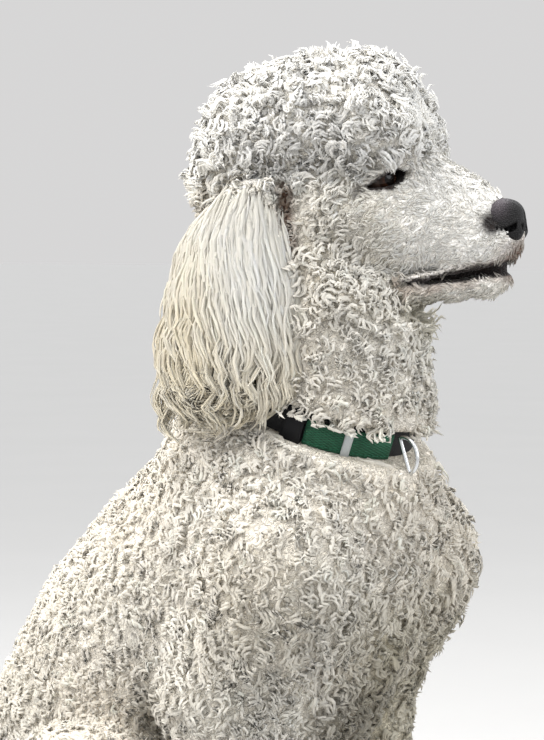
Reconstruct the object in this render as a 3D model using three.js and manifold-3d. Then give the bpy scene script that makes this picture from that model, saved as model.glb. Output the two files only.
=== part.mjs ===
// A standard poodle that sits with its head turned to its left, as a life-size still model.
// Millimetres. +X is the way the chest faces, +Y is the dog's left, +Z is up, and the floor is at z = 0.
// The body is a set of elliptic cones that flow into one another, with the coat's depth over them.
import * as THREE from 'three';
import { mergeVertices } from 'three/addons/utils/BufferGeometryUtils.js';
import Module from 'manifold-3d';

const wasm = await Module();
wasm.setup();

// Driving dimensions
const GAP = 0.3;
// Grid steps of the surfaces, finest on the face
const FACE_STEP = 10.5;
const COAT_STEP = 15;
const TOPKNOT_STEP = 12;
// The share of the coat's depth that its core takes, under the clumps
const CORE_SHARE = 0.35;
// Clumps of curls: seed, spacing on the trunk, the limbs and the topknot, and the thinnest coat that has them
const SEED = 7;
const TRUNK_SPACING = 47;
const LIMB_SPACING = 42;
const TOPKNOT_SPACING = 36;
const THINNEST_CURLS = 9;
const CLUMP_SPREAD = 0.6;
const CLUMP_HEIGHT = 24;
const CLUMP_ROOT = 9;
// Facets flatter than these are merged, on the coat and on the face
const COAT_DETAIL = 2.35;
const FACE_DETAIL = 0.4;

// The head turns about an upright axis in the middle of the neck
const HEAD_TURN = THREE.MathUtils.degToRad(25);
const HEAD_AXIS_X = 35;
const NOSE_TO_AXIS = 158.6;

// Trunk stations, from the rump to the base of the neck: x, z, half depth, half width
const TORSO = [
  [-186, 56, 44, 50],
  [-182, 120, 58, 60],
  [-170, 190, 70, 66],
  [-146, 252, 84, 72],
  [-100, 302, 94, 80],
  [-46, 347, 98, 82],
  [4, 397, 92, 74],
  [36, 440, 78, 60],
];
const TORSO_COAT = 15;
const NECK = [
  [38, 440, 74, 60],
  [48, 500, 56, 50],
  [46, 560, 52, 45],
  [34, 615, 46, 40],
];
const NECK_COAT = 20;
const TAIL = [
  [-215, 118, 20, 20],
  [-262, 112, 15, 15],
  [-318, 128, 12, 12],
  [-352, 156, 10, 10],
];
const TAIL_COAT = 8;
const POM_COAT = 34;

// Upper head stations: distance behind the nose tip, top, bottom, half width
const SKULL = [
  [28, 645, 601, 17],
  [44, 657, 594, 23],
  [62, 667, 591, 27],
  [80, 676, 588, 32],
  [100, 685, 586, 40],
  [122, 692, 584, 46],
  [148, 693, 586, 48],
  [172, 686, 596, 45],
  [190, 672, 612, 36],
];
const JAW = [
  [22, 593, 584, 10],
  [32, 592, 580, 15],
  [54, 591, 578, 19],
  [80, 593, 577, 25],
  [110, 600, 575, 32],
  [132, 612, 573, 36],
];
const FACE_COAT = 2.5;
// Topknot stations: distance behind the nose tip, height, half depth, half width
const TOPKNOT = [
  [98, 686, 26, 42],
  [118, 699, 38, 52],
  [150, 697, 42, 54],
  [182, 682, 42, 50],
  [202, 656, 36, 44],
];
const TOPKNOT_COAT = 12;

// Ear stations: height, distance behind the nose tip, half breadth, thickness of leather and short hair
const LEATHER = [
  [668, 186, 16, 10],
  [650, 190, 24, 14],
  [618, 195, 35, 14],
  [577, 197, 41, 12],
  [543, 198, 43, 11],
  [510, 200, 38, 9],
  [492, 205, 26, 6],
];
const EAR_SIDES = 12;
// The hollow of the ear, at the front of its inner face
const CUP_PLACE = [152, 606];
const CUP_HALF = [24, 8, 44];
// Rows of ear locks from the lowest up: how many, height and spread of roots and of tips, how far out they stand
const LOCK_ROWS = [
  { count: 5, rootHeight: 596, roots: [170, 226], tipHeight: 486, tips: [158, 238], lift: 10 },
  { count: 4, rootHeight: 632, roots: [166, 222], tipHeight: 532, tips: [155, 240], lift: 14 },
  { count: 3, rootHeight: 662, roots: [172, 204], tipHeight: 580, tips: [158, 236], lift: 17 },
];
const LOCK_WIDTH = 33;
const LOCK_THICKNESS = 9;
const LOCK_SWAY = 6;
// Along a lock from root to tip: how far along, share of the width, share of the lift
const LOCK_RINGS = [[0, 0.7, 0.2], [0.34, 1, 1], [0.7, 0.85, 1]];

const EYE_RADIUS = 11.5;
const EYE_RINGS = 7;
const EYE_PLACE = [102, 28.5, 660];
const EYE_TURN = THREE.MathUtils.degToRad(38);
const LID_THICKNESS = 2.6;
// How far the lids' edges stand from the gaze, as angles about the eyeball's middle
const LID_REACH = 1.15;
const UPPER_LID_RISE = 0.62;
const LOWER_LID_DROP = 0.5;
// Half length, rise and drop of the opening between the lids
const LID_OPENING = [10, 5.6, 4.3];
const LIP_THICKNESS = 3.2;
const NOSE_PLACE = [20.5, 0, 628];
const NOSE_HALF = [15, 16.5, 13.5];

const COLLAR_PLACE = [52, 500];
const COLLAR_TILT = THREE.MathUtils.degToRad(20);
const NECK_TILT = THREE.MathUtils.degToRad(30);
const COLLAR_RADIUS = 62;
const STRAP_WIDTH = 20;
const STRAP_THICKNESS = 2;
const RING_RADIUS = 13;
const RING_WIRE = 1.6;
const RING_BULGE = 11;
const RING_ANGLE = THREE.MathUtils.degToRad(-3);
const RING_LEAN = THREE.MathUtils.degToRad(-41);
const GROOVE_MARGIN = 3.6;
const GROOVE_DEPTH = 60;

// Colours, roughness and metalness
const FINISHES = {
  coat: { color: 0xe9e2d6, roughness: 0.9, metalness: 0 },
  earCoat: { color: 0xe2d6bd, roughness: 0.85, metalness: 0 },
  nosePad: { color: 0x141313, roughness: 0.45, metalness: 0 },
  eye: { color: 0x120b07, roughness: 0.08, metalness: 0 },
  webbing: { color: 0x0b0b0d, roughness: 0.8, metalness: 0 },
  ribbon: { color: 0x0c5238, roughness: 0.75, metalness: 0 },
  blackPlastic: { color: 0x0a0a0a, roughness: 0.4, metalness: 0 },
  steel: { color: 0xc4c7c9, roughness: 0.25, metalness: 1 },
};

const SIDES = { right: -1, left: 1 };
const ACROSS = new THREE.Vector3(0, 1, 0);
const UP = new THREE.Vector3(0, 0, 1);
const DOWN_AND_BACK = new THREE.Vector3(-0.45, 0, -1).normalize();
const HEAD_FORWARD = new THREE.Vector3(Math.cos(HEAD_TURN), Math.sin(HEAD_TURN), 0);
const HEAD_LEFT = new THREE.Vector3(-Math.sin(HEAD_TURN), Math.cos(HEAD_TURN), 0);

// A point of the head: behind the nose tip, towards the dog's left, above the floor
function inHead(behind, left, height) {
  return new THREE.Vector3(HEAD_AXIS_X, 0, height)
    .addScaledVector(HEAD_FORWARD, NOSE_TO_AXIS - behind)
    .addScaledVector(HEAD_LEFT, left);
}

// One stretch of the body: an elliptic cone between two points, round at both ends.
// Depth lies in the plane of the dog's length, width lies across it.
function stretch(from, to, depth, width, coat, blend, across = ACROSS) {
  const axis = to.clone().sub(from);
  return {
    from,
    axis,
    squaredLength: axis.lengthSq(),
    depth,
    width,
    coat: Array.isArray(coat) ? coat : [coat, coat],
    blend,
    across,
  };
}

function trunkChain(stations, coat, blend) {
  return stations.slice(1).map((next, i) => {
    const last = stations[i];
    const from = new THREE.Vector3(last[0], 0, last[1]);
    const to = new THREE.Vector3(next[0], 0, next[1]);
    return stretch(from, to, [last[2], next[2]], [last[3], next[3]], coat, blend);
  });
}

function headChain(stations, coat, blend) {
  return stations.slice(1).map((next, i) => {
    const last = stations[i];
    const from = inHead(last[0], 0, (last[1] + last[2]) / 2);
    const to = inHead(next[0], 0, (next[1] + next[2]) / 2);
    const depth = [(last[1] - last[2]) / 2, (next[1] - next[2]) / 2];
    return stretch(from, to, depth, [last[3], next[3]], coat, blend, HEAD_LEFT);
  });
}

// The topknot's hair stands on the skull, so its core is thinner by the share of its depth
function topknotChain(share = 1) {
  const thin = ([behind, height, depth, width]) => [behind, height, depth * share, width * (1 + share) / 2];
  return TOPKNOT.slice(1).map((station, i) => {
    const [last, next] = [thin(TOPKNOT[i]), thin(station)];
    const from = inHead(last[0], 0, last[1]);
    const to = inHead(next[0], 0, next[1]);
    return stretch(from, to, [last[2], next[2]], [last[3], next[3]], TOPKNOT_COAT, 16, HEAD_LEFT);
  });
}

// Shoulder and upper arm, which the trunk's coat covers
function shoulder(side) {
  const at = (x, y, z) => new THREE.Vector3(x, side * y, z);
  return [
    stretch(at(4, 44, 462), at(60, 64, 392), [38, 40], [24, 28], 18, 24),
    stretch(at(62, 66, 390), at(18, 66, 298), [40, 32], [30, 28], 18, 24),
  ];
}

function foreLeg(side) {
  const at = (x, y, z) => new THREE.Vector3(x, side * y, z);
  return [
    stretch(at(18, 66, 300), at(30, 63, 220), [33, 24], [30, 23], 16, 14),
    stretch(at(30, 63, 220), at(37, 62, 110), [24, 20], [23, 20], 16, 14),
    stretch(at(37, 62, 110), at(40, 62, 60), [20, 19], [20, 19], 16, 14),
    stretch(at(40, 62, 60), at(48, 62, 28), [17, 18], [17, 18], [10, 5], 10),
    stretch(at(50, 62, 20), at(66, 62, 16), [17, 14], [21, 20], 4, 8),
  ];
}

function hindLeg(side) {
  const at = (x, y, z) => new THREE.Vector3(x, side * y, z);
  return [
    stretch(at(-172, 62, 150), at(-94, 100, 206), [72, 50], [44, 38], 15, 22),
    stretch(at(-94, 100, 206), at(-68, 112, 224), [50, 37], [38, 34], 16, 16),
    stretch(at(-70, 114, 216), at(-168, 108, 80), [38, 24], [32, 24], 16, 14),
    stretch(at(-172, 108, 78), at(-180, 108, 42), [20, 19], [20, 18], 13, 12),
    stretch(at(-178, 108, 31), at(-60, 114, 27), [19, 16], [18, 17], 12, 12),
    stretch(at(-52, 114, 20), at(-28, 115, 16), [17, 14], [21, 20], 4, 8),
  ];
}

const torsoStretches = trunkChain(TORSO, TORSO_COAT, 20).concat(
  stretch(new THREE.Vector3(44, 0, 366), new THREE.Vector3(62, 0, 400), [44, 38], [50, 46], 20, 26),
  stretch(new THREE.Vector3(28, 0, 300), new THREE.Vector3(54, 0, 360), [36, 40], [44, 48], 20, 25),
);
const neckStretches = trunkChain(NECK, NECK_COAT, 22);
const tailStretches = trunkChain(TAIL, TAIL_COAT, 12);
const pom = stretch(
  new THREE.Vector3(-352, 0, 150), new THREE.Vector3(-378, 0, 172), [20, 20], [20, 20], POM_COAT, 12,
);
const skullStretches = headChain(SKULL, FACE_COAT, 8);
const jawStretches = headChain(JAW, FACE_COAT, 8);
const topknotStretches = topknotChain();

// Signed distance from a point to one stretch
function distanceTo(part, x, y, z) {
  const { from, axis, squaredLength, depth, width, across } = part;
  const px = x - from.x;
  const py = y - from.y;
  const pz = z - from.z;
  const t = THREE.MathUtils.clamp((px * axis.x + py * axis.y + pz * axis.z) / squaredLength, 0, 1);
  const dx = px - axis.x * t;
  const dy = py - axis.y * t;
  const dz = pz - axis.z * t;
  const sideways = dx * across.x + dy * across.y + dz * across.z;
  const square = Math.max(dx * dx + dy * dy + dz * dz - sideways * sideways, 0);
  const h = THREE.MathUtils.lerp(depth[0], depth[1], t);
  const w = THREE.MathUtils.lerp(width[0], width[1], t);
  const near = Math.sqrt((sideways / w) ** 2 + square / h ** 2);
  const slope = Math.sqrt((sideways / w ** 2) ** 2 + square / h ** 4) + 1e-6;
  return { distance: (near * (near - 1)) / slope, t };
}

// The body's field: negative inside. Stretches of one list flow together, and share says how much of the
// coat's depth is laid over them.
function flowing(parts, share = 1) {
  return (x, y, z) => {
    let best = 1000;
    let weights = 0;
    let coats = 0;
    for (const part of parts) {
      const { distance, t } = distanceTo(part, x, y, z);
      const weight = Math.exp(-THREE.MathUtils.clamp(distance, -10, 60) / 9);
      weights += weight;
      const coat = THREE.MathUtils.lerp(part.coat[0], part.coat[1], t);
      coats += weight * coat * (coat < THINNEST_CURLS ? 1 : share);
      const overlap = Math.max(part.blend - Math.abs(best - distance), 0) / part.blend;
      best = Math.min(best, distance) - (overlap * overlap * part.blend) / 4;
    }
    return best - coats / weights;
  };
}

// Fields side by side, which don't flow into one another
function nearestOf(fields) {
  return (x, y, z) => Math.min(...fields.map((field) => field(x, y, z)));
}

function boundsOf(parts, margin) {
  const bounds = new THREE.Box3();
  for (const part of parts) {
    for (const [end, i] of [[part.from, 0], [part.from.clone().add(part.axis), 1]]) {
      const reach = Math.max(part.depth[i], part.width[i]) + part.coat[i] + margin;
      bounds.expandByPoint(end.clone().addScalar(reach));
      bounds.expandByPoint(end.clone().addScalar(-reach));
    }
  }
  return bounds;
}

function solidFrom(positions, triangles) {
  return new wasm.Manifold(new wasm.Mesh({
    numProp: 3,
    vertProperties: new Float32Array(positions),
    triVerts: new Uint32Array(triangles),
  }));
}

function solidOf(geometry, matrix) {
  const bare = geometry.index ? geometry.clone() : geometry;
  bare.deleteAttribute('normal');
  bare.deleteAttribute('uv');
  const merged = mergeVertices(bare, 1e-4);
  if (matrix) merged.applyMatrix4(matrix);
  return solidFrom(merged.attributes.position.array, merged.index.array);
}

// Fills a corner wherever a grid square has inside and outside corners crosswise, so that the surface never
// touches itself along an edge
function settle(values, [nx, ny, nz], depth) {
  const strides = [ny * nz, nz, 1];
  const squares = [[strides[0], strides[1]], [strides[1], strides[2]], [strides[0], strides[2]]];
  let changed = true;
  while (changed) {
    changed = false;
    for (let n = 0; n < values.length - strides[0] - strides[1] - 1; n += 1) {
      for (const [first, second] of squares) {
        const corners = [n, n + first, n + first + second, n + second];
        const inside = corners.map((corner) => values[corner] < 0);
        if (inside[0] === inside[2] && inside[1] === inside[3] && inside[0] !== inside[1]) {
          corners.forEach((corner) => { values[corner] = Math.min(values[corner], -depth); });
          changed = true;
        }
      }
    }
  }
}

// A closed mesh of the field's surface within the bounds, with a vertex in every grid cell that it crosses
function skinOf(field, bounds, step) {
  const low = bounds.min.clone().addScalar(-1.5 * step);
  const counts = bounds.getSize(new THREE.Vector3()).divideScalar(step).toArray().map((n) => Math.ceil(n) + 4);
  const [nx, ny, nz] = counts;
  const limited = (x, y, z) => Math.max(
    field(x, y, z),
    bounds.min.x - x, x - bounds.max.x, bounds.min.y - y, y - bounds.max.y, bounds.min.z - z, z - bounds.max.z,
  );
  const at = (i, j, k) => (i * ny + j) * nz + k;
  const values = new Float64Array(nx * ny * nz);
  for (let i = 0; i < nx; i += 1) {
    for (let j = 0; j < ny; j += 1) {
      for (let k = 0; k < nz; k += 1) {
        values[at(i, j, k)] = limited(low.x + i * step, low.y + j * step, low.z + k * step);
      }
    }
  }
  settle(values, counts, step * 1e-3);
  const positions = [];
  const vertexOf = new Map();
  const point = new THREE.Vector3();
  const gradient = new THREE.Vector3();
  const reach = step * 0.05;
  for (let i = 0; i < nx - 1; i += 1) {
    for (let j = 0; j < ny - 1; j += 1) {
      for (let k = 0; k < nz - 1; k += 1) {
        const sum = new THREE.Vector3();
        let crossings = 0;
        for (let corner = 0; corner < 8; corner += 1) {
          const c = [corner & 1, (corner >> 1) & 1, (corner >> 2) & 1];
          for (let way = 0; way < 3; way += 1) {
            if (c[way]) continue;
            const d = [...c];
            d[way] = 1;
            const a = values[at(i + c[0], j + c[1], k + c[2])];
            const b = values[at(i + d[0], j + d[1], k + d[2])];
            if (a < 0 === b < 0) continue;
            point.fromArray(c).setComponent(way, a / (a - b));
            sum.add(point);
            crossings += 1;
          }
        }
        if (!crossings) continue;
        point.copy(sum).divideScalar(crossings).add(new THREE.Vector3(i, j, k)).multiplyScalar(step).add(low);
        for (let round = 0; round < 3; round += 1) {
          const { x, y, z } = point;
          const value = limited(x, y, z);
          gradient.set(
            limited(x + reach, y, z) - limited(x - reach, y, z),
            limited(x, y + reach, z) - limited(x, y - reach, z),
            limited(x, y, z + reach) - limited(x, y, z - reach),
          ).divideScalar(2 * reach);
          const move = THREE.MathUtils.clamp(-value / Math.max(gradient.lengthSq(), 0.25), -step / 6, step / 6);
          point.addScaledVector(gradient, move);
        }
        vertexOf.set(at(i, j, k), positions.length / 3);
        positions.push(point.x, point.y, point.z);
      }
    }
  }
  const triangles = [];
  const cornerOf = (n) => new THREE.Vector3().fromArray(positions, 3 * n);
  const cells = [[0, 1, 2], [1, 2, 0], [2, 0, 1]];
  for (let i = 1; i < nx - 1; i += 1) {
    for (let j = 1; j < ny - 1; j += 1) {
      for (let k = 1; k < nz - 1; k += 1) {
        for (const [way, second, third] of cells) {
          const next = [i, j, k];
          next[way] += 1;
          const a = values[at(i, j, k)];
          const b = values[at(...next)];
          if (a < 0 === b < 0) continue;
          const quad = [[1, 1], [0, 1], [0, 0], [1, 0]].map(([u, v]) => {
            const cell = [i, j, k];
            cell[second] -= u;
            cell[third] -= v;
            return vertexOf.get(at(...cell));
          });
          if (!(a < 0)) quad.reverse();
          const [p, q, r, s] = quad;
          const even = cornerOf(p).distanceTo(cornerOf(r)) <= cornerOf(q).distanceTo(cornerOf(s));
          triangles.push(...(even ? [p, q, r, p, r, s] : [p, q, s, q, r, s]));
        }
      }
    }
  }
  return solidFrom(positions, triangles);
}

// A number from 0 to 1 that is the same on each run
function seededRandom(seed) {
  let state = seed;
  return () => {
    state = (state + 0x6d2b79f5) | 0;
    let t = Math.imul(state ^ (state >>> 15), 1 | state);
    t = (t + Math.imul(t ^ (t >>> 7), 61 | t)) ^ t;
    return ((t ^ (t >>> 14)) >>> 0) / 4294967296;
  };
}

function outwardsOf(field, point) {
  const reach = 1;
  const { x, y, z } = point;
  return new THREE.Vector3(
    field(x + reach, y, z) - field(x - reach, y, z),
    field(x, y + reach, z) - field(x, y - reach, z),
    field(x, y, z + reach) - field(x, y, z - reach),
  ).normalize();
}

// Places for clumps on the tips' surface, at least a spacing apart, each with the depth down to the core
function clumpPlaces(tips, core, bounds, spacing, planes, random) {
  const { vertProperties } = skinOf(tips, bounds, spacing / 4).getMesh();
  const points = [];
  for (let i = 0; i < vertProperties.length; i += 3) points.push(new THREE.Vector3().fromArray(vertProperties, i));
  for (let i = points.length - 1; i > 0; i -= 1) {
    const j = Math.floor(random() * (i + 1));
    [points[i], points[j]] = [points[j], points[i]];
  }
  const places = [];
  const reach = spacing * CLUMP_SPREAD;
  for (const tip of points) {
    const outside = planes.some(({ point, inward }) => inward.dot(tip) - inward.dot(point) < -reach);
    if (outside || !bounds.containsPoint(tip) || Math.abs(tips(tip.x, tip.y, tip.z)) > 2) continue;
    if (places.some((other) => other.tip.distanceTo(tip) < spacing)) continue;
    const outwards = outwardsOf(tips, tip);
    const inside = tip.clone();
    for (let round = 0; round < 12; round += 1) {
      inside.addScaledVector(outwards, -Math.max(core(inside.x, inside.y, inside.z), 0));
    }
    const depth = inside.distanceTo(tip);
    if (depth > THINNEST_CURLS * (1 - CORE_SHARE)) places.push({ tip, outwards, depth, reach });
  }
  return places;
}

// A curly coat's solid: the core with its clumps, each a rounded lump that reaches the tips, rooted in the core and leaning
// along the coat's lie
function curly(core, places, bounds, step) {
  const random = seededRandom(SEED);
  const clumps = places.map(({ tip, outwards, depth, reach }) => {
    const lie = DOWN_AND_BACK.clone().addScaledVector(outwards, -DOWN_AND_BACK.dot(outwards)).normalize();
    const breadth = reach * (0.88 + 0.24 * random());
    const height = Math.min(CLUMP_HEIGHT, depth + CLUMP_ROOT);
    const sunk = -height - 0.12 * depth * random();
    const middle = tip.clone().addScaledVector(outwards, sunk).addScaledVector(lie, breadth * 0.2 * random());
    return { middle, outwards, breadth, height };
  });
  const field = (x, y, z) => {
    let best = core(x, y, z);
    for (const { middle, outwards, breadth, height } of clumps) {
      const [dx, dy, dz] = [x - middle.x, y - middle.y, z - middle.z];
      const square = dx * dx + dy * dy + dz * dz;
      if (square > 9 * breadth * breadth) continue;
      const rise = dx * outwards.x + dy * outwards.y + dz * outwards.z;
      const near = Math.sqrt(Math.max(square - rise * rise, 0) / breadth ** 2 + (rise / height) ** 2);
      best = Math.min(best, (near - 1) * height);
    }
    return best;
  };
  return skinOf(field, bounds, step).simplify(COAT_DETAIL);
}

// Half spaces, each a point on its plane and the way into it
function facing(point, inward) {
  return { point, inward: inward.clone().normalize() };
}

// The part of a solid inside all the half spaces, short of their planes by half the gap
function within(solid, planes) {
  return planes.reduce((kept, { point, inward }) => (
    kept.trimByPlane(inward.toArray(), inward.dot(point) + GAP / 2)
  ), solid);
}

// A block that fills all the half spaces and reaches past their planes by half the gap
function blockOf(planes) {
  const block = solidOf(new THREE.BoxGeometry(1600, 1600, 2400));
  return planes.reduce((kept, { point, inward }) => (
    kept.trimByPlane(inward.toArray(), inward.dot(point) - GAP / 2)
  ), block);
}

// The largest closed piece of a solid
function largest(solid) {
  return solid.decompose().sort((a, b) => b.volume() - a.volume())[0];
}

const along = (x, y, z) => new THREE.Vector3(x, y, z);
// All that is above a plane across the head, from two points as distance behind the nose tip and height
function aboveHeadPlane([behind, height], [farBehind, farHeight]) {
  const start = inHead(behind, 0, height);
  const backwards = inHead(farBehind, 0, farHeight).sub(start);
  return facing(start, HEAD_LEFT.clone().cross(backwards));
}
const opposite = ({ point, inward }) => facing(point, inward.clone().negate());

const neckBase = facing(along(28, 0, 440), along(Math.sin(NECK_TILT), 0, Math.cos(NECK_TILT)));
const floorPlane = facing(along(0, 0, -GAP / 2), UP);
const headRegion = [aboveHeadPlane([60, 562], [140, 572]), aboveHeadPlane([140, 572], [232, 645])];
const topknotPlane = aboveHeadPlane([85, 677], [215, 641]);
const upperMouth = aboveHeadPlane([15, 600], [90, 587.5]);
const lowerMouth = opposite(aboveHeadPlane([15, 590], [90, 587]));
const jawBack = facing(inHead(100, 0, 0), HEAD_FORWARD);
const noseRoom = [facing(inHead(15, 0, 0), HEAD_FORWARD), aboveHeadPlane([0, 610], [30, 613])];
const kneePlane = facing(along(-16, 0, 0), along(1, 0, 0));
const tailRegion = [facing(along(-250, 0, 0), along(-1, 0, 0))];

function foreLegRegion(side) {
  return [
    facing(along(0, 0, 300), along(0, 0, -1)),
    kneePlane,
    facing(along(0, side * 18, 0), along(0, side, 0)),
  ];
}

function hindLegRegion(side) {
  return [
    facing(along(0, side * 60, 0), along(0, side, 0)),
    opposite(kneePlane),
    facing(along(0, 0, 290), along(0, 0, -1)),
    facing(along(-130, 0, 290), along(-0.55, 0, 1).negate()),
  ];
}

function earRegion(side) {
  const top = inHead(190, side * 50, 668);
  const low = inHead(190, side * 74, 480);
  const outward = low.clone().sub(top).cross(HEAD_FORWARD).multiplyScalar(-side);
  return [
    facing(top, outward),
    opposite(topknotPlane),
    facing(inHead(140, 0, 0), HEAD_FORWARD.clone().negate()),
    facing(inHead(262, 0, 0), HEAD_FORWARD),
    facing(along(0, 0, 462), UP),
  ];
}

const legsOf = { right: [foreLeg(-1), hindLeg(-1)], left: [foreLeg(1), hindLeg(1)] };
const trunkParts = [...torsoStretches, ...shoulder(-1), ...shoulder(1)];
const wholeTrunk = [...trunkParts, ...neckStretches];

function trunkField(share) {
  const limbs = Object.values(legsOf).flat();
  limbs.push([...tailStretches, pom]);
  return nearestOf(limbs.map((limb) => flowing([...wholeTrunk, ...limb], share)));
}

function makeTorso() {
  const bounds = boundsOf(trunkParts, 4);
  const core = trunkField(CORE_SHARE);
  const planes = [opposite(neckBase), opposite(tailRegion[0])];
  const places = clumpPlaces(trunkField(1), core, bounds, TRUNK_SPACING, planes, seededRandom(SEED))
    .filter(({ tip }) => !coveredByLimb(tip));
  let solid = curly(core, places, bounds, COAT_STEP);
  solid = within(solid, [floorPlane, opposite(neckBase)]);
  for (const side of Object.values(SIDES)) {
    solid = solid.subtract(blockOf(foreLegRegion(side))).subtract(blockOf(hindLegRegion(side)));
  }
  return solid.subtract(blockOf(tailRegion)).subtract(earBlocks());
}

function isInside(point, planes, margin = 0) {
  return planes.every(({ point: place, inward }) => inward.dot(point) - inward.dot(place) > -margin);
}

// True where a point of the trunk lies well inside the region of a leg, whose own clumps grow there
function coveredByLimb(tip) {
  const depth = TRUNK_SPACING * CLUMP_SPREAD;
  return Object.values(SIDES).some((side) => (
    isInside(tip, foreLegRegion(side), -depth) || isInside(tip, hindLegRegion(side), -depth)
  ));
}

function makeLimb(parts, region) {
  const field = flowing([...wholeTrunk, ...parts], CORE_SHARE);
  const tips = flowing([...wholeTrunk, ...parts]);
  const bounds = boundsOf(parts, 4);
  const places = clumpPlaces(tips, field, bounds, LIMB_SPACING, region, seededRandom(SEED));
  const solid = curly(field, places, bounds, COAT_STEP);
  return within(solid, [floorPlane, ...region]);
}

function earBlocks() {
  return blockOf(earRegion(-1)).add(blockOf(earRegion(1)));
}

// The strap's own frame: a ring about +Z, tilted so that it hangs lower at the throat
function collarMatrix() {
  return new THREE.Matrix4()
    .makeTranslation(COLLAR_PLACE[0], 0, COLLAR_PLACE[1])
    .multiply(new THREE.Matrix4().makeRotationY(COLLAR_TILT));
}

function bandSolid(innerRadius, outerRadius, low, high, sides = 40) {
  const profile = [
    new THREE.Vector2(innerRadius, low),
    new THREE.Vector2(outerRadius, low),
    new THREE.Vector2(outerRadius, high),
    new THREE.Vector2(innerRadius, high),
    new THREE.Vector2(innerRadius, low),
  ];
  const upright = new THREE.Matrix4().makeRotationX(Math.PI / 2);
  return solidOf(new THREE.LatheGeometry(profile, sides), collarMatrix().multiply(upright));
}

function makeNeck() {
  const parts = [...wholeTrunk, ...skullStretches, ...topknotStretches];
  const bounds = boundsOf(neckStretches, 20);
  const core = flowing(parts, CORE_SHARE);
  const places = clumpPlaces(flowing(parts), core, bounds, LIMB_SPACING, [neckBase], seededRandom(SEED))
    .filter(({ tip }) => !isInside(tip, headRegion, -LIMB_SPACING / 2));
  let solid = within(curly(core, places, bounds, COAT_STEP), [neckBase]);
  solid = solid.subtract(blockOf(headRegion)).subtract(blockOf([topknotPlane])).subtract(earBlocks());
  return solid.subtract(collarGroove()).subtract(ringPocket());
}

function eyeCentre(side) {
  const [behind, left, height] = EYE_PLACE;
  return inHead(behind, side * left, height);
}

function ball(radius, centre, rings, matrix = new THREE.Matrix4()) {
  const geometry = new THREE.SphereGeometry(radius, rings * 2, rings);
  return solidOf(geometry, new THREE.Matrix4().makeTranslation(...centre.toArray()).multiply(matrix));
}

// A round bead along a curve
function bead(points, thickness, steps, sides = 5) {
  const section = new THREE.Shape();
  for (let i = 0; i < sides; i += 1) {
    const angle = (2 * Math.PI * i) / sides;
    section[i ? 'lineTo' : 'moveTo'](thickness * Math.cos(angle), thickness * Math.sin(angle));
  }
  section.closePath();
  const path = new THREE.CatmullRomCurve3(points);
  return solidOf(new THREE.ExtrudeGeometry(section, { steps, extrudePath: path, bevelEnabled: false }));
}

// One eye's own frame: outwards along the gaze, backwards along the lids, and up
function eyeFrame(side) {
  const gaze = HEAD_FORWARD.clone().multiplyScalar(Math.cos(EYE_TURN))
    .addScaledVector(HEAD_LEFT, side * Math.sin(EYE_TURN));
  return { gaze, back: gaze.clone().cross(UP).multiplyScalar(-side) };
}

// Both lids of one eye, laid over the eyeball
function lids(side) {
  const centre = eyeCentre(side);
  const { gaze, back } = eyeFrame(side);
  const radius = EYE_RADIUS + GAP + LID_THICKNESS * 0.55;
  return [UPPER_LID_RISE, -LOWER_LID_DROP].map((halfHeight) => {
    const points = [];
    for (let i = 0; i <= 8; i += 1) {
      const angle = (Math.PI * i) / 8;
      const sideways = LID_REACH * Math.cos(angle);
      const upwards = halfHeight * Math.sin(angle);
      const turn = Math.hypot(sideways, upwards);
      points.push(centre.clone()
        .addScaledVector(gaze, radius * Math.cos(turn))
        .addScaledVector(back, (radius * Math.sin(turn) * sideways) / turn)
        .addScaledVector(UP, (radius * Math.sin(turn) * upwards) / turn));
    }
    return bead(points, LID_THICKNESS, 7);
  });
}

// The opening between the lids, an almond carried outwards from the eyeball's middle
function lidOpening(side) {
  const { gaze, back } = eyeFrame(side);
  const [halfLength, rise, drop] = LID_OPENING;
  const almond = new THREE.Shape();
  almond.moveTo(-halfLength, 0);
  almond.quadraticCurveTo(0, -2 * drop, halfLength, 0);
  almond.quadraticCurveTo(0, 2 * rise, -halfLength, 0);
  const geometry = new THREE.ExtrudeGeometry(almond, { depth: 40, bevelEnabled: false, curveSegments: 6 });
  const outwards = back.clone().cross(UP);
  const flip = Math.sign(outwards.dot(gaze));
  const place = new THREE.Matrix4().makeBasis(back.multiplyScalar(flip), UP, gaze);
  return solidOf(geometry, place.setPosition(eyeCentre(side)));
}

// A lip's edge on one side, from the front of the muzzle to the corner of the mouth
function lip(side, line, lift) {
  const points = line.map(([behind, left, height]) => inHead(behind, side * left, height + lift));
  return bead(points, LIP_THICKNESS, 7);
}
const UPPER_LIP = [[17, 3, 604], [22, 11, 602], [34, 18, 598], [52, 22, 594], [70, 27, 590], [86, 33, 591]];
const LOWER_LIP = [[19, 2, 587], [24, 9, 586.5], [36, 15, 585], [54, 19, 583.5], [72, 24, 583.5], [88, 30, 584]];

function noseSolid(grow) {
  const [length, width, height] = NOSE_HALF.map((half) => half + grow);
  const place = new THREE.Matrix4().makeBasis(HEAD_FORWARD, HEAD_LEFT, UP);
  place.scale(new THREE.Vector3(length, width, height));
  return ball(1, inHead(...NOSE_PLACE), 7, place);
}

function makeNose() {
  let solid = noseSolid(0);
  const place = new THREE.Matrix4().makeBasis(HEAD_FORWARD, HEAD_LEFT, UP);
  for (const side of Object.values(SIDES)) {
    const hole = place.clone().scale(new THREE.Vector3(7, 3.6, 3));
    solid = solid.subtract(ball(1, inHead(9, side * 8, 627), 4, hole));
    const slit = place.clone().scale(new THREE.Vector3(6, 2.6, 1.6));
    solid = solid.subtract(ball(1, inHead(14, side * 13.5, 625), 4, slit));
  }
  return solid;
}

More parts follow.
